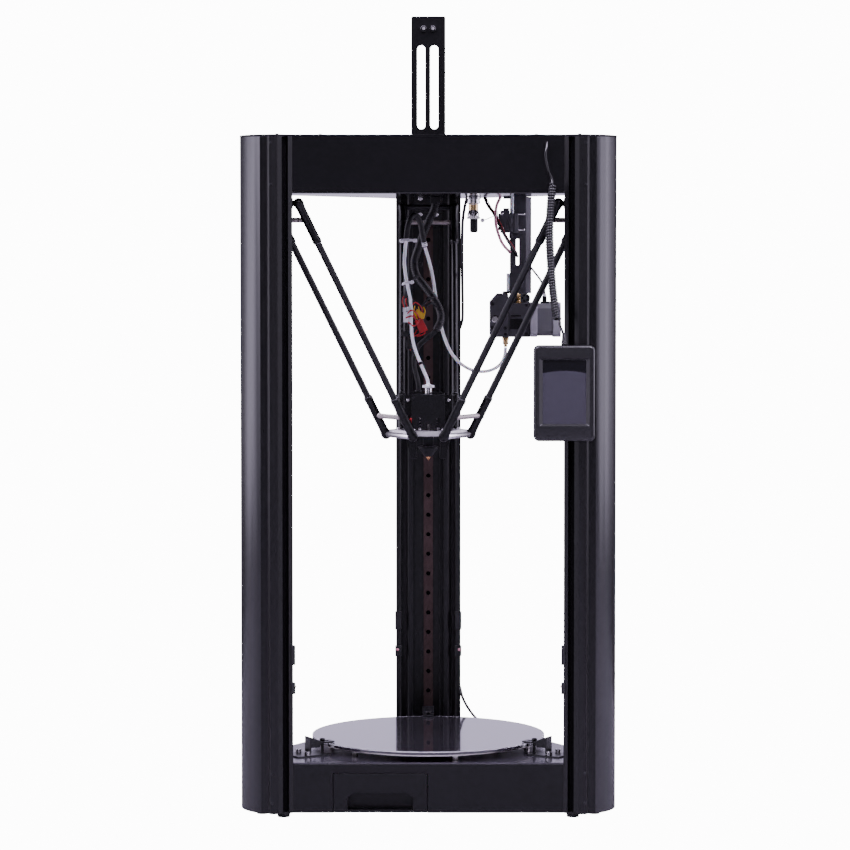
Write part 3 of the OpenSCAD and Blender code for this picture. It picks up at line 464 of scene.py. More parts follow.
def frames_along(path):
    """Tangent and two normals at each point, carried along without twist."""
    ends = [path[0], *path, path[-1]]
    tangents = [(after - before).normalized() for before, after in zip(ends, ends[2:])]
    side = Vector((1, 0, 0)) if abs(tangents[0].x) < 0.8 else Vector((0, 0, 1))
    normal = tangents[0].cross(side).normalized()
    frames = []
    for tangent in tangents:
        normal = (normal - normal.dot(tangent) * tangent).normalized()
        frames.append((tangent, normal, tangent.cross(normal)))
    return frames


def distances(path):
    """How far along the path each point is."""
    along = [0.0]
    for a, b in zip(path, path[1:]):
        along.append(along[-1] + (b - a).length)
    return along


def tube(path, radius, sides=10):
    """A bmesh tube with closed ends and UVs; radius is a number or a function of the point's number."""
    bm = bmesh.new()
    uv_layer = bm.loops.layers.uv.new("UVMap")
    rings = []
    for i, (point, (_, normal, binormal)) in enumerate(zip(path, frames_along(path))):
        r = radius(i) if callable(radius) else radius
        rings.append([bm.verts.new(point + r * (math.cos(a) * normal + math.sin(a) * binormal))
                      for a in (2 * math.pi * k / sides for k in range(sides))])
    along = distances(path)
    total = along[-1]
    for i, (a, b) in enumerate(zip(rings, rings[1:])):
        for k in range(sides):
            m = (k + 1) % sides
            face = bm.faces.new((a[k], a[m], b[m], b[k]))
            corners = ((k, i), (k + 1, i), (k + 1, i + 1), (k, i + 1))
            for loop, (u, v) in zip(face.loops, corners):
                loop[uv_layer].uv = (u / sides, along[v] / total)
    bm.faces.new(rings[0][::-1])
    bm.faces.new(rings[-1])
    return bm


def helix(path, radius, pitch, per_turn=14):
    """Points of a helix of the given radius that winds round a path."""
    along = distances(path)
    frames = frames_along(path)
    turns = along[-1] / pitch
    count = int(turns * per_turn)
    points, i = [], 0
    for k in range(count + 1):
        s = along[-1] * k / count
        while i < len(path) - 2 and along[i + 1] < s:
            i += 1
        t = (s - along[i]) / (along[i + 1] - along[i])
        point = path[i].lerp(path[i + 1], t)
        normal = frames[i][1].lerp(frames[i + 1][1], t).normalized()
        binormal = frames[i][2].lerp(frames[i + 1][2], t).normalized()
        a = 2 * math.pi * turns * k / count
        points.append(point + radius * (math.cos(a) * normal + math.sin(a) * binormal))
    return points


def aimed(point, direction):
    """Puts a lathe's foot at the point, with its axis along the direction."""
    return Matrix.Translation(Vector(point)) @ Vector(direction).to_track_quat("Z", "Y").to_matrix().to_4x4()


def turned(profile, point, direction=(0, 0, 1), sides=28):
    return moved(lathe(profile, sides), aimed(point, direction))


def rod(start, end, radius, edge=0.3, sides=28):
    length = (Vector(end) - Vector(start)).length
    edge = min(edge, radius * 0.4, length * 0.3)
    profile = [(0, 0), (radius - edge, 0), (radius, edge), (radius, length - edge), (radius - edge, length),
               (0, length)]
    return turned(profile, start, Vector(end) - Vector(start), sides)


def ball(point, radius, steps=10):
    half = [math.pi * i / steps for i in range(1, steps)]
    profile = [(0, -radius)] + [(radius * math.sin(a), -radius * math.cos(a)) for a in half] + [(0, radius)]
    return turned(profile, point)


def cap_screw(point, direction, radius, height):
    """Cylinder head with a round socket."""
    socket, floor_z, edge = radius * 0.5, height * 0.4, radius * 0.12
    return turned([(0, floor_z), (socket, floor_z), (socket, height), (radius - edge, height),
                   (radius, height - edge), (radius, 0), (0, 0)], point, direction, 24)


def dome_screw(point, direction, radius, height):
    """Domed head with a small socket."""
    shares = [(0, 0.5), (0.35, 0.5), (0.4, 1), (0.75, 0.8), (1, 0.3), (1, 0), (0, 0)]
    return turned([(radius * r, height * z) for r, z in shares], point, direction, 20)


def spring(start, end, coil_r, wire_r, pitch):
    start, end = Vector(start), Vector(end)
    steps = max(2, round((end - start).length / 4))
    line = [start.lerp(end, i / steps) for i in range(steps + 1)]
    return tube(helix(line, coil_r, pitch, 10), wire_r, 5)


def hoop(point, direction, radius, wire_r, sides=6, steps=24):
    """A ring of wire whose ends meet."""
    place = aimed(point, direction)
    turn = [2 * math.pi * i / steps for i in range(steps + 1)]
    circle = [Vector((radius * math.cos(a), radius * math.sin(a), 0)) for a in turn]
    return tube([place @ point for point in circle], wire_r, sides)


def rounded_rect(half_w, half_h, corner, steps=6):
    """Points of a rounded rectangle, counter-clockwise from the right."""
    points = []
    for quarter, (sx, sy) in enumerate(((1, 1), (-1, 1), (-1, -1), (1, -1))):
        for i in range(steps + 1):
            a = math.pi / 2 * (quarter + i / steps)
            x, y = sx * (half_w - corner), sy * (half_h - corner)
            points.append((x + corner * math.cos(a), y + corner * math.sin(a)))
    return points


def loft(rings):
    """A closed bmesh through rings of the same number of 3-D points."""
    bm = bmesh.new()
    loops = [[bm.verts.new(p) for p in ring] for ring in rings]
    for a, b in zip(loops, loops[1:]):
        for i in range(len(a)):
            j = (i + 1) % len(a)
            bm.faces.new((a[i], a[j], b[j], b[i]))
    bm.faces.new(loops[0][::-1])
    bm.faces.new(loops[-1])
    return bm


# ---------- cords ----------

CORD_STEP = 3 * MM

bowden_points = [
    (94.5, 69, 541), (93.5, 68.5, 531), (89, 67, 521.5), (80.5, 64, 515), (70, 60, 512),
    (58, 56, 512.5), (46.5, 51, 517), (36, 46, 525), (27.5, 42.5, 536), (21, 40.5, 550),
    (16, 39, 566), (12.5, 38, 583), (9.5, 35.5, 600), (7, 32, 617), (4, 27, 634),
    (0, 21, 650), (-4, 15, 664), (-7, 10, 678), (-9, 5, 690.5), (-12.5, -2, 699),
    (-17.5, -9.5, 701.5), (-22, -15.5, 696), (-25, -18.5, 685), (-26.5, -19, 671),
    (-28, -18, 657), (-28.5, -16, 643), (-27, -14, 629), (-24.5, -12, 615), (-21.5, -10, 601),
    (-20.5, -8.5, 586), (-20.5, -7, 571), (-19.5, -5.5, 557), (-16.5, -4, 543), (-11.5, -2.5, 529),
    (-6, -1, 516), (-1.5, 0, 506), (0, 0, 498.3)]
harness_points = [
    (9, 52, 725), (9, 52, 719), (6.5, 50, 708), (0.5, 47, 695), (-7, 43, 677), (-13, 39, 660), (-17, 34, 645),
    (-14.5, 29, 630), (-4.5, 25, 616), (6, 22, 602), (13.5, 20, 588), (15, 19, 575),
    (9.5, 18.5, 563), (-1, 18, 554), (-11, 17.5, 545), (-16.5, 17, 533), (-17, 16.5, 520),
    (-14, 16, 507), (-12, 15.5, 497), (-12, 15, 488.2)]
lead_top_points = [
    (136.5, -142.5, 784), (136.2, -146.5, 778), (134.8, -149, 770), (136, -150.5, 760),
    (138.5, -151, 750), (141.5, -151, 743), (143, -151, 737)]
coil_points = [
    (143, -151, 736), (140.7, -151.5, 712), (139.3, -152, 680), (140.7, -152.5, 648),
    (143, -153.5, 616), (146.3, -155.5, 592), (148.5, -158, 580)]
lead_low_points = [
    (149, -158.4, 579), (151.5, -160.5, 573), (154.5, -163, 565), (156, -164.5, 557),
    (156, -165, 550.8)]
TIE_INDEX = 23
SLEEVE_END = 12


def route(points, step=CORD_STEP):
    return smooth_path([from_axis(*p) for p in points], step)


# The filament tube: from the extruder to the tie, and from the tie down to the effector
TUBE_D = 4 * MM
feed_path = route(bowden_points[:TIE_INDEX + 1])
drop_path = route(bowden_points[TIE_INDEX:])
feed_tube = finish_mesh("filament_tube_upper", tube(feed_path, TUBE_D / 2, 12), tube_white, "frame",
                        replaces=["bowden_tube"], slot="tube_white")
drop_tube = finish_mesh("filament_tube_lower", tube(drop_path, TUBE_D / 2, 12), tube_white, None,
                        slot="tube_white")
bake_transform(drop_tube)

# The corrugated sleeve and, below its connectors, the thinner cable
RIB_PITCH = 2.4 * MM
RIB_STEP = RIB_PITCH / 4
SLEEVE_D = 10 * MM
CABLE_D = 6 * MM


def ribbed(radius, depth):
    profile = (0, depth, depth, 0)
    return lambda i: radius - depth + profile[i % 4]


sleeve_path = route(harness_points[:SLEEVE_END + 1], RIB_STEP)
cable_path = route(harness_points[SLEEVE_END:])
sleeve = finish_mesh("harness_sleeve", tube(sleeve_path, ribbed(SLEEVE_D / 2, 0.75 * MM), 16),
                     black["sleeve"], None, smooth_angle=60, replaces=["harness"], slot="sleeve_black")
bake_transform(sleeve)
cable = finish_mesh("effector_cable", tube(cable_path, CABLE_D / 2, 12), black["rubber"], None,
                    slot="sleeve_black")
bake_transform(cable)

# The curly lead of the display
LEAD_D = 2.9 * MM
COIL_R = 3.6 * MM
COIL_PITCH = 3.15 * MM
coil_axis = route(coil_points)
coil_path = helix(coil_axis, COIL_R, COIL_PITCH)
lead_top = route(lead_top_points[:-1])
lead_low = route(lead_low_points[1:])
lead_path = lead_top + coil_path + lead_low
lead = finish_mesh("coiled_lead", tube(lead_path, LEAD_D / 2, 10), black["coil"], None,
                   smooth_angle=60, replaces=["display_lead", "display_coil"], slot="lead_rubber")
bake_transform(lead)


# ---------- small parts on the cords ----------

def strap(points, width, thickness, step=1.5):
    """A flat strip along the points."""
    path = smooth_path(points, step)
    rings = []
    for point, (_, normal, binormal) in zip(path, frames_along(path)):
        n, b = normal * width / 2, binormal * thickness / 2
        rings.append([point - n - b, point + n - b, point + n + b, point - n + b])
    return loft(rings)


def wire(points, radius, sides=8, step=1.5):
    return tube(smooth_path(points, step), radius, sides)


def bent_run(points, first, last):
    """The stretch of a route between two of its point numbers."""
    return smooth_path(points[first:last + 1], 0.5)


def wires(radius, *runs):
    return [wire(points, radius) for points in runs]


def tilted_plug(half, middle, angle):
    """A plug of the given half size, turned about Y."""
    low = [-side for side in half]
    return moved(block(low, half), Matrix.Translation(middle) @ Matrix.Rotation(angle, 4, "Y"))


# The dark sleeve over the filament tube's upper bend, its white tie and its white cuff
ARCH_START = 16
arch_path = bent_run(bowden_points, ARCH_START, TIE_INDEX)
arch = add_piece("arch_sleeve", tube(arch_path, ribbed(3.5, 0.5), 14), black["sleeve"],
                 smooth_angle=60)
cuff = turned([(2.1, 0), (3.3, 0.4), (3.5, 2), (3.2, 6.2), (2.1, 6.6)], bowden_points[ARCH_START],
              Vector(bowden_points[ARCH_START + 1]) - Vector(bowden_points[ARCH_START]), 20)
cuff = add_piece("arch_cuff", cuff, white_plastic)
tie = join(strap([(-5.5, -1, 0), (-3, -3.8, 0.8), (2.5, -4.2, 1), (8, -2.4, 0.6), (12, 1, 0.4)], 3.2, 1.3),
           ball((-5.2, -1.5, 0), 2.9), block((8.6, -2, -2), (13, 3, 2.6)),
           turned([(2.1, -1.2), (3.9, -0.8), (3.9, 1.6), (2.1, 2)], (0, 0, 0), (0.1, 0, 1), 20))
tie = moved(tie, Matrix.Translation(bowden_points[TIE_INDEX]))
tie = add_piece("arch_tie", tie, white_plastic, bevel=0.5)

# The bundle of plugs under the sleeve hangs between the frame and the effector, like the sleeve
hanging = {
    "bundle_white": (white_plastic, [
        block((-30.5, -10, 586), (-26.4, -5, 591)), block((-30, -10, 573.5), (-22.5, -5, 585.5)),
        block((-26, -10, 586.5), (-22, -5, 592)), ball((-19.5, -13.5, 621.5), 2.4),
        strap([(-31, -14, 619), (-28, -18, 620.5), (-22, -17.5, 621.5), (-19, -13, 621)], 3, 1.2)]),
    "bundle_red": (red_plastic, [
        tilted_plug((5, 3.5, 8), (-8.5, 9.5, 569), -0.45),
        wire([(-22, 0, 553), (-23, -1, 546), (-21, 2, 539)], 0.9),
        *wires(
            0.8,
            [(-29, -6, 605), (-31, -7, 599), (-29, -8, 591)],
            [(-26, -6, 604), (-27, -9, 598), (-25, -8, 591)],
            [(-23, -6, 603), (-20, -8, 597), (-21, -4, 588), (-16, 2, 579)],
            [(-26, -9, 583), (-20, -11, 588), (-14, -5, 584), (-11, 4, 578)],
            [(-27, -10, 579), (-19, -12, 581), (-15, -6, 576), (-13, 3, 572)],
            [(-24, -10, 574), (-18, -8, 569), (-14, 0, 571), (-9, 5, 578)],
            [(-21, -4, 592), (-15, 0, 597), (-8, 4, 590), (-6, 7, 579)],
            [(-14, 8, 564), (-16, 7, 560), (-22, 4, 557)],
            [(-10, 8, 564), (-11, 7, 559), (-18, 6, 556)],
            [(-5, 8, 564), (-4, 8, 560.5), (-8, 8, 557.5), (-14, 8, 556)])]),
    "bundle_yellow": (yellow_wire, [
        tilted_plug((6, 3, 3.5), (-10.5, 7, 583), 0.6),
        *wires(
            0.8,
            [(-16, 9, 593), (-17, 7, 586), (-13, 8, 577)],
            [(-12, 9, 592), (-10, 6, 585), (-9, 8, 577)],
            [(-6, 9, 592), (-4, 6, 586), (-6, 8, 577)])]),
    "bundle_black": (black["rubber"], [
        turned([(0, 0), (3.4, 0.5), (3.8, 3), (3.6, 15), (2.4, 17), (0, 17)], (-26, -4, 601),
               (0.12, -0.1, 1), 20),
        block((-31, -6, 556), (-22, 2, 563)), block((-27, -2, 541), (-17, 5, 554)),
        block((-24.5, 3, 562), (-15.5, 9, 570)),
        wire([(-13, 10, 595), (-20, 4, 600), (-25, -2, 610), (-21, 8, 622), (-12, 20, 629)], 1.6),
        wire([(-3, 9, 592), (4, 12, 596), (10, 18, 592)], 1.6),
        wire([(-8, 8, 592), (0, 12, 601), (6, 18, 603)], 1.4),
        wire([(-20, 0, 541), (-16, 8, 536), (-15.5, 14, 533)], 2.4),
        wire([(-30, -4, 563), (-33, -4, 569), (-30, -6, 574)], 0.9),
        wire([(-26, -4, 563), (-25, -7, 568), (-26, -6, 574)], 0.9)]),
    "tube_tie": (black["fitting"], [
        turned([(2.1, -1.6), (3.2, -1.4), (3.2, 1.4), (2.1, 1.6)], (-9.5, -2, 524.5), (-0.4, -0.1, 1), 16),
        strap([(-6.7, -3.3, 524.5), (-4.8, -4.3, 522.5), (-3.9, -4.3, 519.5)], 1.8, 0.9)]),
}
for name, (material, parts) in hanging.items():
    piece = add_piece(name, join(*parts), material, None, bevel=0.3)
    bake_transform(piece)

gland = join(block((3, 47, 717), (15, 58, 724.8)), block((-13, 34, 640), (-7, 39, 645)))
sleeve_gland = add_piece("sleeve_gland", gland, black["fitting"], bevel=0.6)

# Thin leads of the extruder, and the leads that run down beside the rear column and to the bed
thin_leads = {
    "extruder_lead": (black["lead"], 1.6, [
        (68, 58, 724.6), (72.5, 56, 714), (79.2, 53, 704.7), (85.5, 51, 692), (91.4, 51, 680),
        (100, 56, 666), (108.9, 66.6, 652)]),
    "sensor_lead": (red_dark, 0.6, [
        (70.2, 57, 724.6), (75, 54.5, 714), (81.2, 51.5, 705), (87.5, 49.5, 693), (93, 49.5, 681),
        (101, 54.5, 668), (108.9, 66.2, 656)]),
    "ribbon_lead": (pink_wire, 1.8, [
        (87.8, 52, 724.6), (83, 50, 714), (81.6, 49, 702.3), (82, 48, 692), (84.3, 49, 682),
        (90, 53, 668), (99.8, 64.5, 657)]),
    "motor_lead": (black["lead"], 1.3, [
        (124.6, 77, 640), (130, 75, 633), (137.5, 72, 623), (141.3, 70, 614), (142, 69, 606.4)]),
    "column_lead": (black["lead"], 1.8, [
        (47, 44, 724.6), (44, 50, 711), (42, 62, 696), (41.6, 90, 672), (42, 130, 642),
        (42.8, 170, 612), (43.4, 196, 588), (43, 208, 571), (39, 212.5, 558)]),
    "bed_lead": (black["lead"], 1.7, [
        (37.5, 213, 112), (40.5, 206, 103), (43.5, 198, 92), (50, 186, 81), (58, 174, 71.5),
        (65, 160, 67), (70, 144, 66.6), (69, 128, 67), (65, 113, 67.2), (60, 100, 67.4)]),
}
for name, (material, radius, points) in thin_leads.items():
    path = route(points)
    thin = finish_mesh(name, tube(path, radius * MM, 8), material, "frame", slot="lead_rubber")
zip_tie = join(ball((65.8, 47, 696), 2.6),
               strap([(84, 46.5, 702), (78, 46, 700.5), (70, 46.5, 697), (66.5, 47, 696)], 2.6, 1),
               strap([(85.5, 46.6, 698), (84, 46.2, 702), (84.5, 46.6, 707)], 2.2, 1))
add_piece("ribbon_tie", zip_tie, white_plastic, bevel=0.3)


# ---------- CAD nodes: materials and rounded edges ----------

WELD_DISTANCE = 1e-6
CAD_EDGE_ANGLE = 28


def dress(material, edge, *names):
    """CAD nodes keep their shape and get a finish, and edges rounded by a width in millimetres."""
    for name in names:
        piece = nodes[name]
        piece.data.materials.clear()
        piece.data.materials.append(material)
        for polygon in piece.data.polygons:
            polygon.material_index = 0
        if edge:
            weld = piece.modifiers.new("weld", "WELD")
            weld.merge_threshold = WELD_DISTANCE
            round_edges(piece, edge * MM, CAD_EDGE_ANGLE)


dress(black["column"], 0.6, "column_left", "column_right", "column_rear")
dress(black["cover"], 0.3, "column_covers")
dress(steel, 0.3, "linear_rails")
dress(black["deck"], 0.5, "base_deck")
dress(black["ceiling"], 0.5, "ceiling_plate")
dress(black["panel"], 0.5, "base_panels", "base_floor", "drawer")
dress(black["top"], 0.5, "top_plate", "top_panels", "spool_bracket", "spool_arm")
dress(black["rubber"], 0.5, "rubber_feet", "timing_belts")
dress(screw_black, 0, "frame_screws")
dress(black["motor"], 0.5, "tower_motors")
dress(aluminium, 0.3, "idler_brackets", "heat_bed", "bed_standoffs", "power_supply",
      "pulley_left", "pulley_right", "pulley_rear", "idler_left", "idler_right", "idler_rear")
dress(black["plastic"], 0.4, "endstop_switches", "power_inlet", "display_holder", "hotend_fan")
dress(black["wheel"], 0.4, "thumbwheel")
dress(black["clip"], 0.4, "clip_brackets", "bed_clip_left", "bed_clip_right", "bed_clip_rear",
      "carriage_left", "carriage_right", "carriage_rear")
dress(board, 0, "mainboard")
dress(black["bracket"], 0.5, "extruder_bracket")
dress(black["fitting"], 0.4, "hotend_shroud")
dress(bright_alu, 0.3, "effector_plate")
dress(rocker_red, 0.4, "power_rocker")
dress(bed_glass, 0, "glass_plate")


# ---------- columns ----------

# Radii and heights in millimetres; a tower's drawing has its radius along X
COLUMN_R = (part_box("column_rear")[0].y - AXIS.y) / MM
COLUMN_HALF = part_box("column_rear")[1].x / MM
COLUMN_LOW, COLUMN_HIGH = bottom_of("column_rear") / MM, top_of("column_rear") / MM
RAIL_FACE_R = COLUMN_R + 14
RAIL_HOLE_PITCH = 25
RAIL_HOLES = [73 + RAIL_HOLE_PITCH * i for i in range(27)]
CATCH_HEIGHTS = ((178, 201), (144, 157.5))


def at_each_tower(build):
    for tower, angle in TOWERS.items():
        build(tower, angle)


def build_column_details(tower, angle):
    """Dark matte strips in the side slots, which paint the shade inside them, and the catches at the corners
    of the inner face.
    """
    place = tower_place(angle)
    strips, catches, tips = [], [], []
    for side in (-1, 1):
        across = sorted((side * (COLUMN_HALF - 4.95), side * (COLUMN_HALF - 3.4)))
        strips.append(block((COLUMN_R + 5.7, across[0], COLUMN_LOW + 1),
                            (COLUMN_R + 13.5, across[1], COLUMN_HIGH - 1)))
        for low, high in CATCH_HEIGHTS:
            outer = sorted((side * (COLUMN_HALF - 0.5), side * (COLUMN_HALF + 1.2)))
            inner = sorted((side * (COLUMN_HALF - 7), side * (COLUMN_HALF + 1.2)))
            catches.append(block((COLUMN_R - 2.6, outer[0], low), (COLUMN_R + 3, outer[1], high)))
            catches.append(block((COLUMN_R - 2.6, inner[0], low), (COLUMN_R + 0.2, inner[1], high)))
        tips.append(dome_screw((COLUMN_R - 2.4, side * (COLUMN_HALF - 1.6), 152.5), (-1, 0, 0), 1.8, 2.2))
    head = [(0, 0), (2.6, 0), (2.6, 0.3), (1.4, 0.5), (1.4, 0.1), (0, 0.1)]
    screws = [turned(head, (RAIL_FACE_R + 0.15, 0, z), (-1, 0, 0), 20) for z in RAIL_HOLES]
    finish_mesh("rail_screws_" + tower, join(*screws), black["slot"], "frame", place)
    # Painted shade: dark matte strips that fill the side slots.
    finish_mesh("slot_shade_strips_" + tower, join(*strips), black["slot"], "frame", place)
    finish_mesh("corner_catches_" + tower, join(*catches), black["plastic"], "frame", place,
                bevel=0.8, segments=3)
    finish_mesh("catch_tips_" + tower, join(*tips), pink_wire, "frame", place)


at_each_tower(build_column_details)


# ---------- arms ----------

FITTING = [(0, -6.2), (2.6, -5.7), (4.6, -4.2), (5.8, -2), (6.1, 0.5), (5.6, 3.5), (5.1, 7), (5, 12),
           (5, 46.5), (5.3, 47), (5.3, 50.6), (4.9, 51.5), (4.2, 52), (0, 52)]
FITTING_LENGTH = 52
# A thin grey ring at the end of each moulded end: a painted highlight on its rim.
RING_HIGHLIGHT = [(4.05, 0), (4.75, 0), (4.75, 0.5), (4.05, 0.5)]
ROD_R = 4
SPRING_AT = (22, 26)
SPRING_END = ARM_HALF - 4.6
ROD_STEP, ROD_POINTS = 13, 18
HOOP_R, HOOP_WIRE_R = 5.35, 0.42
SPRING_R, SPRING_WIRE_R, SPRING_PITCH = 2.6, 0.45, 1.02


def build_arms(tower, angle):
    """A pair of arms: moulded ends, carbon rods, grey rings that paint the highlight on the ends' rims, and
    the springs that hold them together.
    """
    top = Vector((CARRIAGE_JOINT_R, 0, CARRIAGE_Z))
    low = Vector((EFFECTOR_JOINT_R, 0, EFFECTOR_Z))
    down = (low - top).normalized()
    ends, rods, rings, hoops, springs = [], [], [], [], []
    for side in (-1, 1):
        shift = Vector((0, side * ARM_HALF, 0))
        for joint, along, at in ((top + shift, down, SPRING_AT[0]), (low + shift, -down, SPRING_AT[1])):
            ends.append(turned(FITTING, joint, along, 32))
            # Painted highlight: a grey ring on the rim of each end.
            rings.append(turned(RING_HIGHLIGHT, joint + along * FITTING_LENGTH, along, 32))
            hoops.append(hoop(joint + along * at, along, HOOP_R, HOOP_WIRE_R))
        start = top + shift + down * (FITTING_LENGTH - 8)
        rods.append(tube([start + down * (i * ROD_STEP) for i in range(ROD_POINTS)], ROD_R, 28))
    half = Vector((0, SPRING_END, 0))
    for middle in (top + down * SPRING_AT[0], low - down * SPRING_AT[1]):
        springs.append(spring(middle - half, middle + half, SPRING_R, SPRING_WIRE_R, SPRING_PITCH))
    body, place = "carriage_" + tower, tower_place(angle)
    finish_mesh("arm_ends_" + tower, join(*ends), black["fitting"], body, place, smooth_angle=50,
                replaces=["arms_" + tower], slot="carbon_black")
    finish_mesh("arm_rods_" + tower, join(*rods), carbon, body, place, slot="carbon_black")
    finish_mesh("arm_ring_highlights_" + tower, join(*rings), clamp_grey, body, place)
    finish_mesh("arm_hoops_" + tower, join(*hoops), black["fitting"], body, place, smooth_angle=60)
    finish_mesh("arm_springs_" + tower, join(*springs), spring_steel, body, place, smooth_angle=60)


at_each_tower(build_arms)


# ---------- carriages ----------

PLATE_FACE_R = 206


def build_carriage_details(tower, angle):
    """Ball tips and plate screws, and the end caps of the rail block."""
    bright = [ball((CARRIAGE_JOINT_R, side * (ARM_HALF - 2.2), CARRIAGE_Z), 2.9) for side in (-1, 1)]
    for w, z in ((-10, 10.5), (10, 10.5), (10, -9), (-10, -9)):
        bright.append(cap_screw((PLATE_FACE_R, w, CARRIAGE_Z + z), (-1, 0, 0), 2.5, 2.4))
    body, place = "carriage_" + tower, tower_place(angle)
    finish_mesh("carriage_screws_" + tower, join(*bright), steel_light, body, place)
    caps = []
    for z in (CARRIAGE_Z - 24.4, CARRIAGE_Z + 22.7):
        for low, high in ((-13, -6.6), (6.6, 13)):
            caps.append(block((PLATE_FACE_R + 0.5, low, z), (PLATE_FACE_R + 18.5, high, z + 1.7)))
    finish_mesh("carriage_seals_" + tower, join(*caps), black["fitting"], body, place, bevel=0.2)


at_each_tower(build_carriage_details)


# ---------- effector ----------

NOZZLE_TIP = EFFECTOR_Z - 30
SHROUD_TOP = EFFECTOR_Z + 49.3
BLOCK_Z = EFFECTOR_Z - 14.5


def build_effector():
    """The balls and the screws of the effector plate."""
    tips, screws = [], []
    for angle in TOWERS.values():
        turn = Matrix.Rotation(math.radians(angle), 4, "Z")
        for side in (-1, 1):
            tips.append(moved(ball((EFFECTOR_JOINT_R, side * (ARM_HALF - 2.4), EFFECTOR_Z), 3.1), turn))
            tips.append(moved(ball((EFFECTOR_JOINT_R, side * ARM_HALF, EFFECTOR_Z), 4.6), turn))
            head = cap_screw((EFFECTOR_JOINT_R - 9, side * 17, EFFECTOR_Z + 6.1), (0, 0, 1), 2.7, 2.6)
            screws.append(moved(head, turn))
    add_piece("effector_ball_tips", join(*tips), steel_light, "effector")
    for x in (-24.5, 24.5):
        screws.append(cap_screw((x, 8.5, EFFECTOR_Z + 41), (0, -1, 0), 1.8, 1.4))
    add_piece("effector_screws", join(*screws), steel_light, "effector")


def build_hotend():
    """Heat sink, sock, nozzle tip, and the fitting and collar of the filament tube."""
    sink_z, fins, pitch = EFFECTOR_Z + 11, 10, 3.4
    profile = [(0, sink_z)]
    for i in range(fins + 1):
        z = sink_z + i * pitch
        profile += [(5, z), (10.5, z), (10.5, z + 1.2), (5, z + 1.2)]
    profile += [(0, sink_z + fins * pitch + 1.2)]
    sink = join(turned(profile, (0, 0, 0)), rod((0, 0, BLOCK_Z + 12), (0, 0, sink_z), 2.5))
    add_piece("hotend_sink", sink, aluminium, "effector")
    outline = rounded_rect(6.6, 9.1, 1.5)
    sides = [[(x, y + 2, z) for x, y in outline] for z in (BLOCK_Z - 0.5, EFFECTOR_Z - 2.5)]
    cone = [(0, 0), (11.2, 0), (12, 0.8), (12, 2.4), (10.6, 4.2), (5, 12), (3.4, 13), (0, 13)]
    sock = join(loft(sides), turned(cone, (0, 0, BLOCK_Z + 0.8), (0, 0, -1), 40))
    add_piece("hotend_sock", sock, black["rubber"], "effector", bevel=0.3,
              replaces=["hotend"], slot="hotend_metal")
    tip = [(0, 0), (2.9, 0), (2.7, 1.2), (0.9, 4), (0.5, 4.2), (0, 4.2)]
    tip = turned(tip, (0, 0, NOZZLE_TIP + 3.7), (0, 0, -1))
    add_piece("nozzle_tip", tip, copper, "effector", smooth_angle=60, slot="hotend_metal")
    fitting = [(0, -3), (3.6, -3), (3.6, 0.4), (4.1, 0.6), (4.1, 3), (3.7, 3.3), (3.7, 3.9), (4.1, 4.2),
               (4.1, 6.4), (3.6, 6.7), (0, 6.7)]
    add_piece("tube_fitting", turned(fitting, (0, 0, SHROUD_TOP), sides=32), chrome, "effector")
    collar = [(0, 0), (4.5, 0), (7.2, 0.5), (7.3, 1.1), (7.2, 3.2), (6.6, 3.6), (3.4, 3.7), (3.2, 4.6),
              (2.1, 4.7), (2.1, 4.4), (0, 4.4)]
    collar = turned(collar, (0, 0, SHROUD_TOP + 6.6), sides=36)
    add_piece("tube_collar", collar, white_plastic, "effector")


def build_shroud_details():
    """Small parts on the fan shroud: cable gland, latch and edge screws."""
    parts = [block((4.5, -6, SHROUD_TOP), (17, 8, SHROUD_TOP + 1.6)),
             block((-18, 2, SHROUD_TOP), (-8, 11, SHROUD_TOP + 2.2)),
             rod((-12, 15, SHROUD_TOP - 6), (-12, 15, SHROUD_TOP + 3.4), 4.2)]
    add_piece("shroud_fittings", join(*parts), black["fitting"], "effector", bevel=0.4)
    screws = [cap_screw((x, -25, EFFECTOR_Z + z), (0, -1, 0), 1.5, 0.5)
              for x in (-17.6, 17.6) for z in (9, 45)]
    add_piece("shroud_screws", join(*screws), screw_black, "effector")
    loop = [(-20.4, -14, 16), (-21.6, -17, 18.5), (-20.6, -21, 20.5), (-19.2, -22, 18)]
    loop = wire([(x, y, EFFECTOR_Z + z) for x, y, z in loop], 0.8, step=1.2)
    add_piece("fan_wire", loop, red_plastic, "effector")


build_effector()
build_hotend()
build_shroud_details()


# ---------- display ----------

DISPLAY = (centre("display_case") - AXIS) / MM
DISPLAY_FRONT = (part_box("display_case")[0].y - AXIS.y) / MM
SCREEN_DZ = 1.5


def display_ring(half_w, half_h, corner, depth, dz=0.0):
    """A rounded rectangle facing the front, at a depth behind the display's face."""
    outline = rounded_rect(half_w, half_h, corner)
    return [(DISPLAY.x + x, DISPLAY_FRONT + depth, DISPLAY.z + dz + z) for x, z in outline]


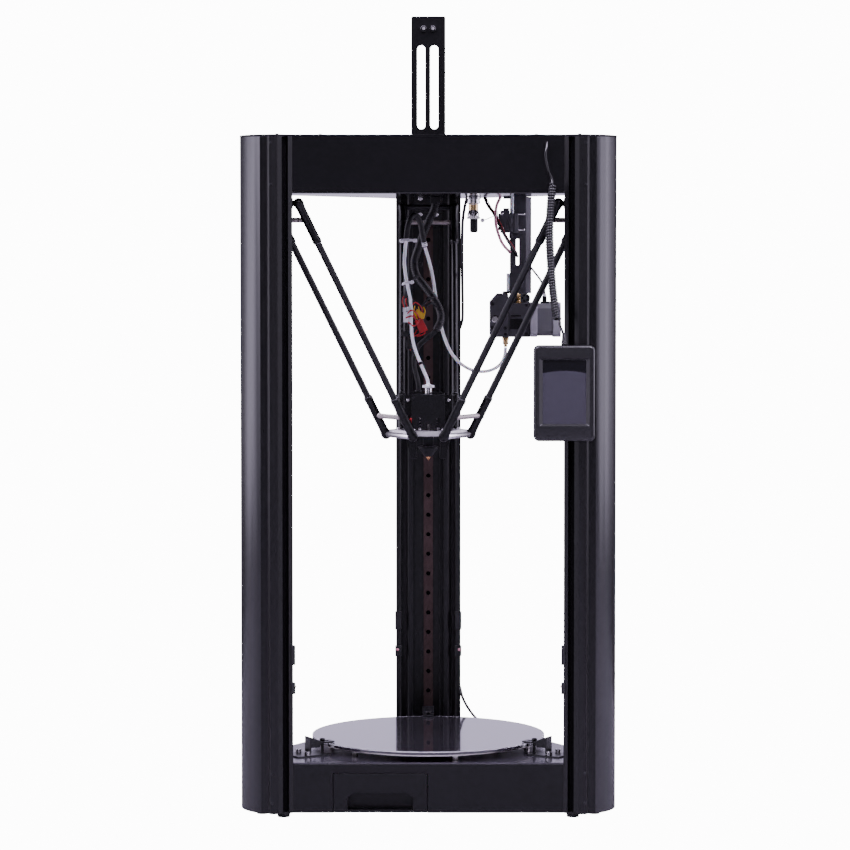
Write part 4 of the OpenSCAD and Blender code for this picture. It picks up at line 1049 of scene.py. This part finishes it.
def build_display():
    outside = [(34, 54, 5, 18), (35, 55, 6, 17), (35, 55, 6, 3.2), (34.7, 54.7, 5.8, 1.9),
               (33.9, 53.9, 5.2, 0.8), (32.8, 52.8, 4.4, 0.25), (31.8, 51.8, 3.6, 0)]
    bezel = [(28.9, 38.9, 0.9, 0), (25, 36.7, 0.5, 2.6), (24.9, 36.6, 0.5, 3.4)]
    rings = [display_ring(*ring) for ring in outside] + [display_ring(*ring, SCREEN_DZ) for ring in bezel]
    add_piece("display_shell", loft(rings), black["display"], "display", smooth_angle=30,
              replaces=["display_case"], slot="plastic_black")
    glass = loft([display_ring(25, 36.7, 0.5, depth, SCREEN_DZ) for depth in (3.3, 3)])
    add_piece("display_glass", glass, screen_glass_painted_reflection, "display",
              replaces=["display_screen"], slot="screen_gloss")
    screws = [dome_screw((DISPLAY.x + x, DISPLAY_FRONT + 18, DISPLAY.z + z), (0, 1, 0), 2, 0.8)
              for x in (-29, 29) for z in (-49, 49)]
    add_piece("display_screws", join(*screws), screw_black, "display")
    boot = [(0, 0), (3.4, 0), (3.4, 3), (2.7, 6), (2.5, 12), (2, 15), (0, 15)]
    boot = turned(boot, lead_low_points[-1], (0, 0.45, 1), 20)
    add_piece("display_lead_boot", boot, black["rubber"], "display")


build_display()


# ---------- extruder ----------

EXT_Y = 69
EXT_LOW, EXT_HIGH = 554, 607
HOUSING_FRONT = EXT_Y - 19
IDLER_X, IDLER_Z = 81, 576


def build_extruder():
    """Cast drive housing, gear block and its small parts."""
    outline = [(75, EXT_LOW + 3), (77, EXT_LOW), (97.4, EXT_LOW), (97.4, EXT_HIGH), (84, EXT_HIGH),
               (75, EXT_HIGH - 10)]
    upright = Matrix.Translation((0, EXT_Y, 0)) @ Matrix.Rotation(math.pi / 2, 4, "X")
    body = join(moved(prism(outline, -19, 19), upright),
                block((98, EXT_Y - 17, EXT_LOW), (124, EXT_Y - 7.8, EXT_LOW + 41)),
                block((98, EXT_Y - 8, EXT_LOW), (124, EXT_Y + 17, EXT_LOW + 43)),
                block((99.5, EXT_Y - 8, EXT_LOW + 43), (121, EXT_Y + 3, EXT_HIGH)))
    add_piece("extruder_housing", body, black["extruder"], bevel=0.8, segments=3,
              replaces=["extruder_body"], slot="extruder_grey")
    dark = [block((99.6, EXT_Y - 17.4, 563.5), (114.8, EXT_Y - 16.8, 576.5)),
            block((97.4, EXT_Y - 17.8, EXT_LOW + 1), (98, EXT_Y + 17, EXT_HIGH - 4)),
            turned([(0, 0), (5.2, 0), (5.2, 0.4), (0, 0.4)], (IDLER_X, HOUSING_FRONT, IDLER_Z), (0, -1, 0)),
            turned([(0, 0), (5.6, 0), (6.8, 0.6), (6.8, 2), (5.6, 2.8), (0, 2.8)], (97.5, EXT_Y, EXT_HIGH))]
    for x, z in ((78, 594.5), (77.6, 566), (78, 557.5), (94, 557.5), (93.5, 565)):
        dark.append(cap_screw((x, HOUSING_FRONT, z), (0, -1, 0), 2.1, 0.7))
    dark.append(rod((100, EXT_Y - 17.5, 580), (113, EXT_Y - 17.5, 580), 1.1))
    for x, z in ((119.5, 593), (119.5, 558)):
        dark.append(cap_screw((x, EXT_Y - 17, z), (0, -1, 0), 1.9, 0.6))
    add_piece("extruder_dark_parts", join(*dark), black["fitting"], bevel=0.2)
    idler = [(0, 0), (4.1, 0), (4.1, 0.8), (3.3, 1.1), (3.3, 0.5), (1.7, 0.5), (1.7, 1.1), (0, 1.1)]
    idler = turned(idler, (IDLER_X, HOUSING_FRONT - 0.35, IDLER_Z), (0, -1, 0))
    add_piece("extruder_idler", idler, chrome)
    outlet = [(0, 0), (3.8, 0), (4.1, 0.5), (4.1, 4), (3.4, 4.6), (3.4, 9), (3, 9.6), (2.2, 9.8),
              (2.2, 13), (0, 13)]
    y = EXT_Y - 12
    hub = join(spring((110, y, 596.5), (110, y, 607.5), 2.4, 0.95, 3.3),
               rod((107, y, 596.2), (113, y, 596.2), 1.6),
               turned(outlet, (94.5, EXT_Y, EXT_LOW + 0.5), (0, 0, -1)))
    add_piece("extruder_brass", hub, brass, smooth_angle=45)
    disc = [(0, 0), (5.9, 0), (5.9, 1), (2.2, 1), (2.2, 3.2), (0, 3.2)]
    disc = turned(disc, (118, EXT_Y - 10.4, 601.4), (0, -1, 0), 32)
    add_piece("thumbwheel_disc", disc, black["fitting"], "thumbwheel")
    stub = rod((97.8, EXT_Y, EXT_HIGH + 2.6), (97.8, EXT_Y, 631.5), 2.3)
    add_piece("inlet_tube", stub, tube_white, slot="tube_white")
    feed = rod((102.3, EXT_Y - 6.5, 704), (102.3, EXT_Y - 6.5, CEILING / MM), 2)
    add_piece("feed_tube", feed, tube_white, slot="tube_white")


MOTOR_Z = EXT_LOW + 21.2
STACK_X, STACK_SHEETS = 132.4, 19


def motor_section(x, half, corner):
    """A square with cut corners, across the motor's axis."""
    near = half - corner
    outline = [(-half, -near), (-near, -half), (near, -half), (half, -near),
               (half, near), (near, half), (-near, half), (-half, near)]
    return [(x, EXT_Y + a, MOTOR_Z + b) for a, b in outline]


def build_motor():
    """Stepper motor: cast end caps and a laminated stack between them."""
    caps = join(*(loft([motor_section(x, 21, 3.5) for x in ends])
                  for ends in ((124.2, 132.6), (151.4, 161.4))))
    add_piece("motor_caps", caps, motor_grey, bevel=0.7,
              replaces=["extruder_motor"], slot="motor_black")
    rings = []
    for i in range(STACK_SHEETS):
        x = STACK_X + i
        rings += [motor_section(x, 19.9, 6), motor_section(x + 0.9, 19.9, 6), motor_section(x + 0.9, 19.6, 6)]
    add_piece("motor_stack", loft(rings), stack_grey, slot="motor_black")
    plug = join(block((137, EXT_Y - 8, EXT_LOW + 40), (150, EXT_Y + 8, EXT_LOW + 43.2)),
                block((139.3, EXT_Y - 6, EXT_LOW + 43), (144.6, EXT_Y + 6, EXT_LOW + 49.5)))
    add_piece("motor_connector", plug, black["fitting"], bevel=0.3)
    shell = block((140, EXT_Y - 5, EXT_LOW + 49), (144, EXT_Y + 5, EXT_LOW + 52.5))
    add_piece("motor_plug", shell, white_plastic, bevel=0.3)


def build_sensor():
    """Filament sensor, its clamp and its standoffs."""
    y = EXT_Y - 4
    body = join(block((88, y - 9, 681), (99, y + 9, 708)),
                block((85.4, y - 7, 684), (88.2, y + 7, 704.5)),
                block((91.5, y - 8, 707.5), (98.5, y + 6, 711)),
                block((98.5, y - 5, 674.5), (103, y + 3, 681)))
    add_piece("sensor_body", body, black["extruder"], bevel=0.6,
              replaces=["filament_sensor"], slot="extruder_grey")
    clamp = join(block((99.2, y - 8, 681), (105, y + 2, 705)),
                 block((104.8, y - 10, 680.5), (109.4, y + 2, 704.6)))
    add_piece("sensor_clamp", clamp, clamp_grey, bevel=0.6)
    bright = [rod((109, y - 4, z), (117.5, y - 4, z), 1.5) for z in (684.7, 703.8)]
    bright += [dome_screw((x, y - 9, z), (0, -1, 0), 2, 1.6) for x, z in ((90, 704.5), (90, 686.5))]
    add_piece("sensor_bright_parts", join(*bright), chrome)


build_extruder()
build_motor()
build_sensor()


# ---------- round connector at the ceiling ----------

SOCKET_X, SOCKET_Y = 54.5, 30


def build_socket():
    """A round connector: shell, band, saddle and boot, from the ceiling down."""
    x, y, low = SOCKET_X, SOCKET_Y, CEILING / MM
    shell = [(0, 0), (8.7, 0), (8.9, 0.6), (8.9, 3.2), (8.2, 3.8), (7.6, 4), (7.6, 6), (8.1, 6.3), (8.1, 8.6),
             (7.2, 9), (6, 9.4), (5.7, 10), (5.7, 17), (6.4, 19), (7.2, 21.5), (7.3, 24), (6.8, 24.6),
             (5.2, 24.8), (5.2, 26), (0, 26)]
    shell = turned(shell, (x, y, low), (0, 0, -1), 40)
    add_piece("connector_shell", shell, chrome, smooth_angle=40,
              replaces=["harness_socket"], slot="connector_chrome")
    band = turned([(0, 0), (5.9, 0), (5.9, 6.6), (0, 6.6)], (x, y, low - 10.2), (0, 0, -1), 40)
    add_piece("connector_band", band, brass)
    screws = [cap_screw((x + side * 6.6, y - 2, low - 26.2), (0, -1, 0), 1.5, 1.4) for side in (-1, 1)]
    saddle = block((x - 7.4, y - 4, low - 27.6), (x + 7.4, y + 4, low - 24.8))
    add_piece("connector_saddle", join(saddle, *screws), chrome, bevel=0.3)
    boot = [(0, 0), (4.6, 0), (4.9, 1.5), (4.9, 13), (4.4, 15.8), (3, 16.5), (0, 16.5)]
    boot = turned(boot, (x + 0.6, y, low - 27.4), (0, 0, -1), 28)
    add_piece("connector_boot", boot, black["rubber"], smooth_angle=40)


build_socket()


# ---------- bed clips, spool holder and loose screws ----------

CLIP_TOP = GLASS_TOP / MM + 2.8
CLIP_SCREW_R, CLIP_SCREW_SIDE = 171, 11.5
CLIP_KNOB_R = 145
DECK = top_of("base_deck") / MM


def build_clip_details(tower, angle):
    """The bright cap screws of a bed clip and the head of the screw its claw slides under."""
    place = tower_place(angle)
    screws = [cap_screw((CLIP_SCREW_R, y, DECK + 1.4), (0, 0, 1), 3.6, 4.8)
              for y in (-CLIP_SCREW_SIDE, CLIP_SCREW_SIDE)]
    finish_mesh("clip_screws_" + tower, join(*screws), steel_light, "frame", place)
    knob = [(0, 0), (2.9, 0), (3.3, 0.4), (3.3, 1.8), (2.5, 2.6), (1.2, 2.9), (0, 3)]
    knob = turned(knob, (CLIP_KNOB_R, 0, CLIP_TOP), (0, 0, 1), 24)
    finish_mesh("clip_knob_" + tower, knob, black["fitting"], "frame", place, smooth_angle=50)


def build_bed_rim_highlight():
    """The ground edge round the glass, its near-white colour a painted highlight."""
    radius, top = GLASS_R, GLASS_TOP / MM
    section = [(-1.1, -0.6), (-1.1, 0.04), (-0.7, 0.08), (0.1, -0.5), (0.1, -1), (-1.1, -0.6)]
    ring = lathe([(radius + out, top + up) for out, up in section], 160)
    # Painted highlight: a near-white band round the top edge of the glass.
    add_piece("bed_rim_highlight", ring, glass_rim_painted_highlight, smooth_angle=20)


def build_spool_nuts():
    top = top_of("top_plate") / MM
    nut = [(0, 0), (3.9, 0), (3.9, 2.4), (3.5, 2.9), (2, 2.9), (2, 4.6), (0, 4.8)]
    nuts = [turned(nut, (x, 0, top + 131.4), (0, -1, 0), 6) for x in (-5.5, 5.5)]
    add_piece("spool_nuts", join(*nuts), steel_light)


at_each_tower(build_clip_details)
build_bed_rim_highlight()
build_spool_nuts()


# ---------- studio ----------

def emission(name, strength):
    material = bpy.data.materials.new(name)
    material.use_nodes = True
    material.node_tree.nodes.clear()
    output = add_node(material, "ShaderNodeOutputMaterial")
    light = add_node(material, "ShaderNodeEmission", Strength=strength)
    link(material, light.outputs["Emission"], output.inputs["Surface"])
    return material


def stage_plane(name, corners, material):
    mesh = bpy.data.meshes.new(name)
    mesh.from_pydata(corners, [], [(0, 1, 2, 3)])
    mesh.materials.append(material)
    plane = bpy.data.objects.new(name, mesh)
    bpy.context.scene.collection.objects.link(plane)
    return plane


STUDIO_TINT = (0.86, 0.79, 1.0)
WORLD_STRENGTH = 0.06
BACK_Y = 2.5
SIDE_X = 2.2
WIDE = 30
WHITE = 13
TABLE_HALF, TABLE_FRONT, TABLE_BACK, TABLE_Z = 1.4, -6, 0.5, -0.001


def camera_only(plane):
    """The camera sees it and nothing is lit by it."""
    plane.visible_diffuse = False
    plane.visible_glossy = False
    plane.visible_transmission = False
    plane.visible_shadow = False


def build_backdrop():
    """Four walls and a floor far outside, all white."""
    white = emission("studio_white", WHITE)
    around = [(-WIDE, WIDE), (WIDE, WIDE), (WIDE, -WIDE), (-WIDE, -WIDE)]
    for i, name in enumerate(("backdrop", "backdrop_right", "backdrop_front", "backdrop_left")):
        a, b = around[i], around[(i + 1) % 4]
        camera_only(stage_plane(name, [(*a, -WIDE), (*b, -WIDE), (*b, WIDE), (*a, WIDE)], white))
    camera_only(stage_plane("floor", [(x, y, 0) for x, y in around], white))


def build_table():
    """A plane under the machine that lights and reflects, and that the camera doesn't see."""
    half = TABLE_HALF
    corners = [(-half, TABLE_FRONT), (half, TABLE_FRONT), (half, TABLE_BACK), (-half, TABLE_BACK)]
    table_top = new_material("table_top", (0.32, 0.308, 0.345), 0.5)
    stage_plane("table", [(x, y, TABLE_Z) for x, y in corners], table_top).visible_camera = False


build_backdrop()
build_table()

world = bpy.data.worlds.new("studio")
world.use_nodes = True
set_inputs(world.node_tree.nodes["Background"], Color=(*STUDIO_TINT, 1), Strength=WORLD_STRENGTH)
bpy.context.scene.world = world


def softbox(name, position, target, size, radiance, tint=STUDIO_TINT):
    """An area light of a stated brightness, in watts per square metre and steradian."""
    data = bpy.data.lights.new(name, "AREA")
    data.shape = "RECTANGLE"
    data.size, data.size_y = size
    data.energy = radiance * math.pi * size[0] * size[1]
    data.color = tint
    light = bpy.data.objects.new(name, data)
    light.location = position
    light.rotation_euler = (Vector(target) - Vector(position)).to_track_quat("-Z", "Y").to_euler()
    light.visible_camera = False
    bpy.context.scene.collection.objects.link(light)


softbox("wall_light", (0, BACK_Y, 1.25), (0, 0, 1.25), (1.4, 2.3), 1.1, (0.8, 0.72, 1.0))
for name, side in (("left", -1), ("right", 1)):
    softbox("side_broad_" + name, (side * SIDE_X, -0.5, 1.35), (0, -0.5, 1.35), (3.2, 2.5), 1.8)
    softbox("side_core_" + name, (side * (SIDE_X + 0.05), 0.15, 1.4), (0, 0.15, 1.4), (1.0, 2.4), 4.4)
    softbox("key_" + name, (side * 1.3, -1.7, 3.3), (0, 0, 0.5), (1.6, 1.6), 21)
    softbox("back_side_" + name, (side * SIDE_X, 1.6, 1.3), (0, 1.6, 1.3), (1.4, 2.3), 0.7)
softbox("front_fill", (0, -4.6, 1.2), (0, 0, 1.0), (3.2, 2.2), 0.5)
softbox("overhead", (0, 0.3, 2.8), (0, 0, 0.5), (2.4, 1.6), 2)
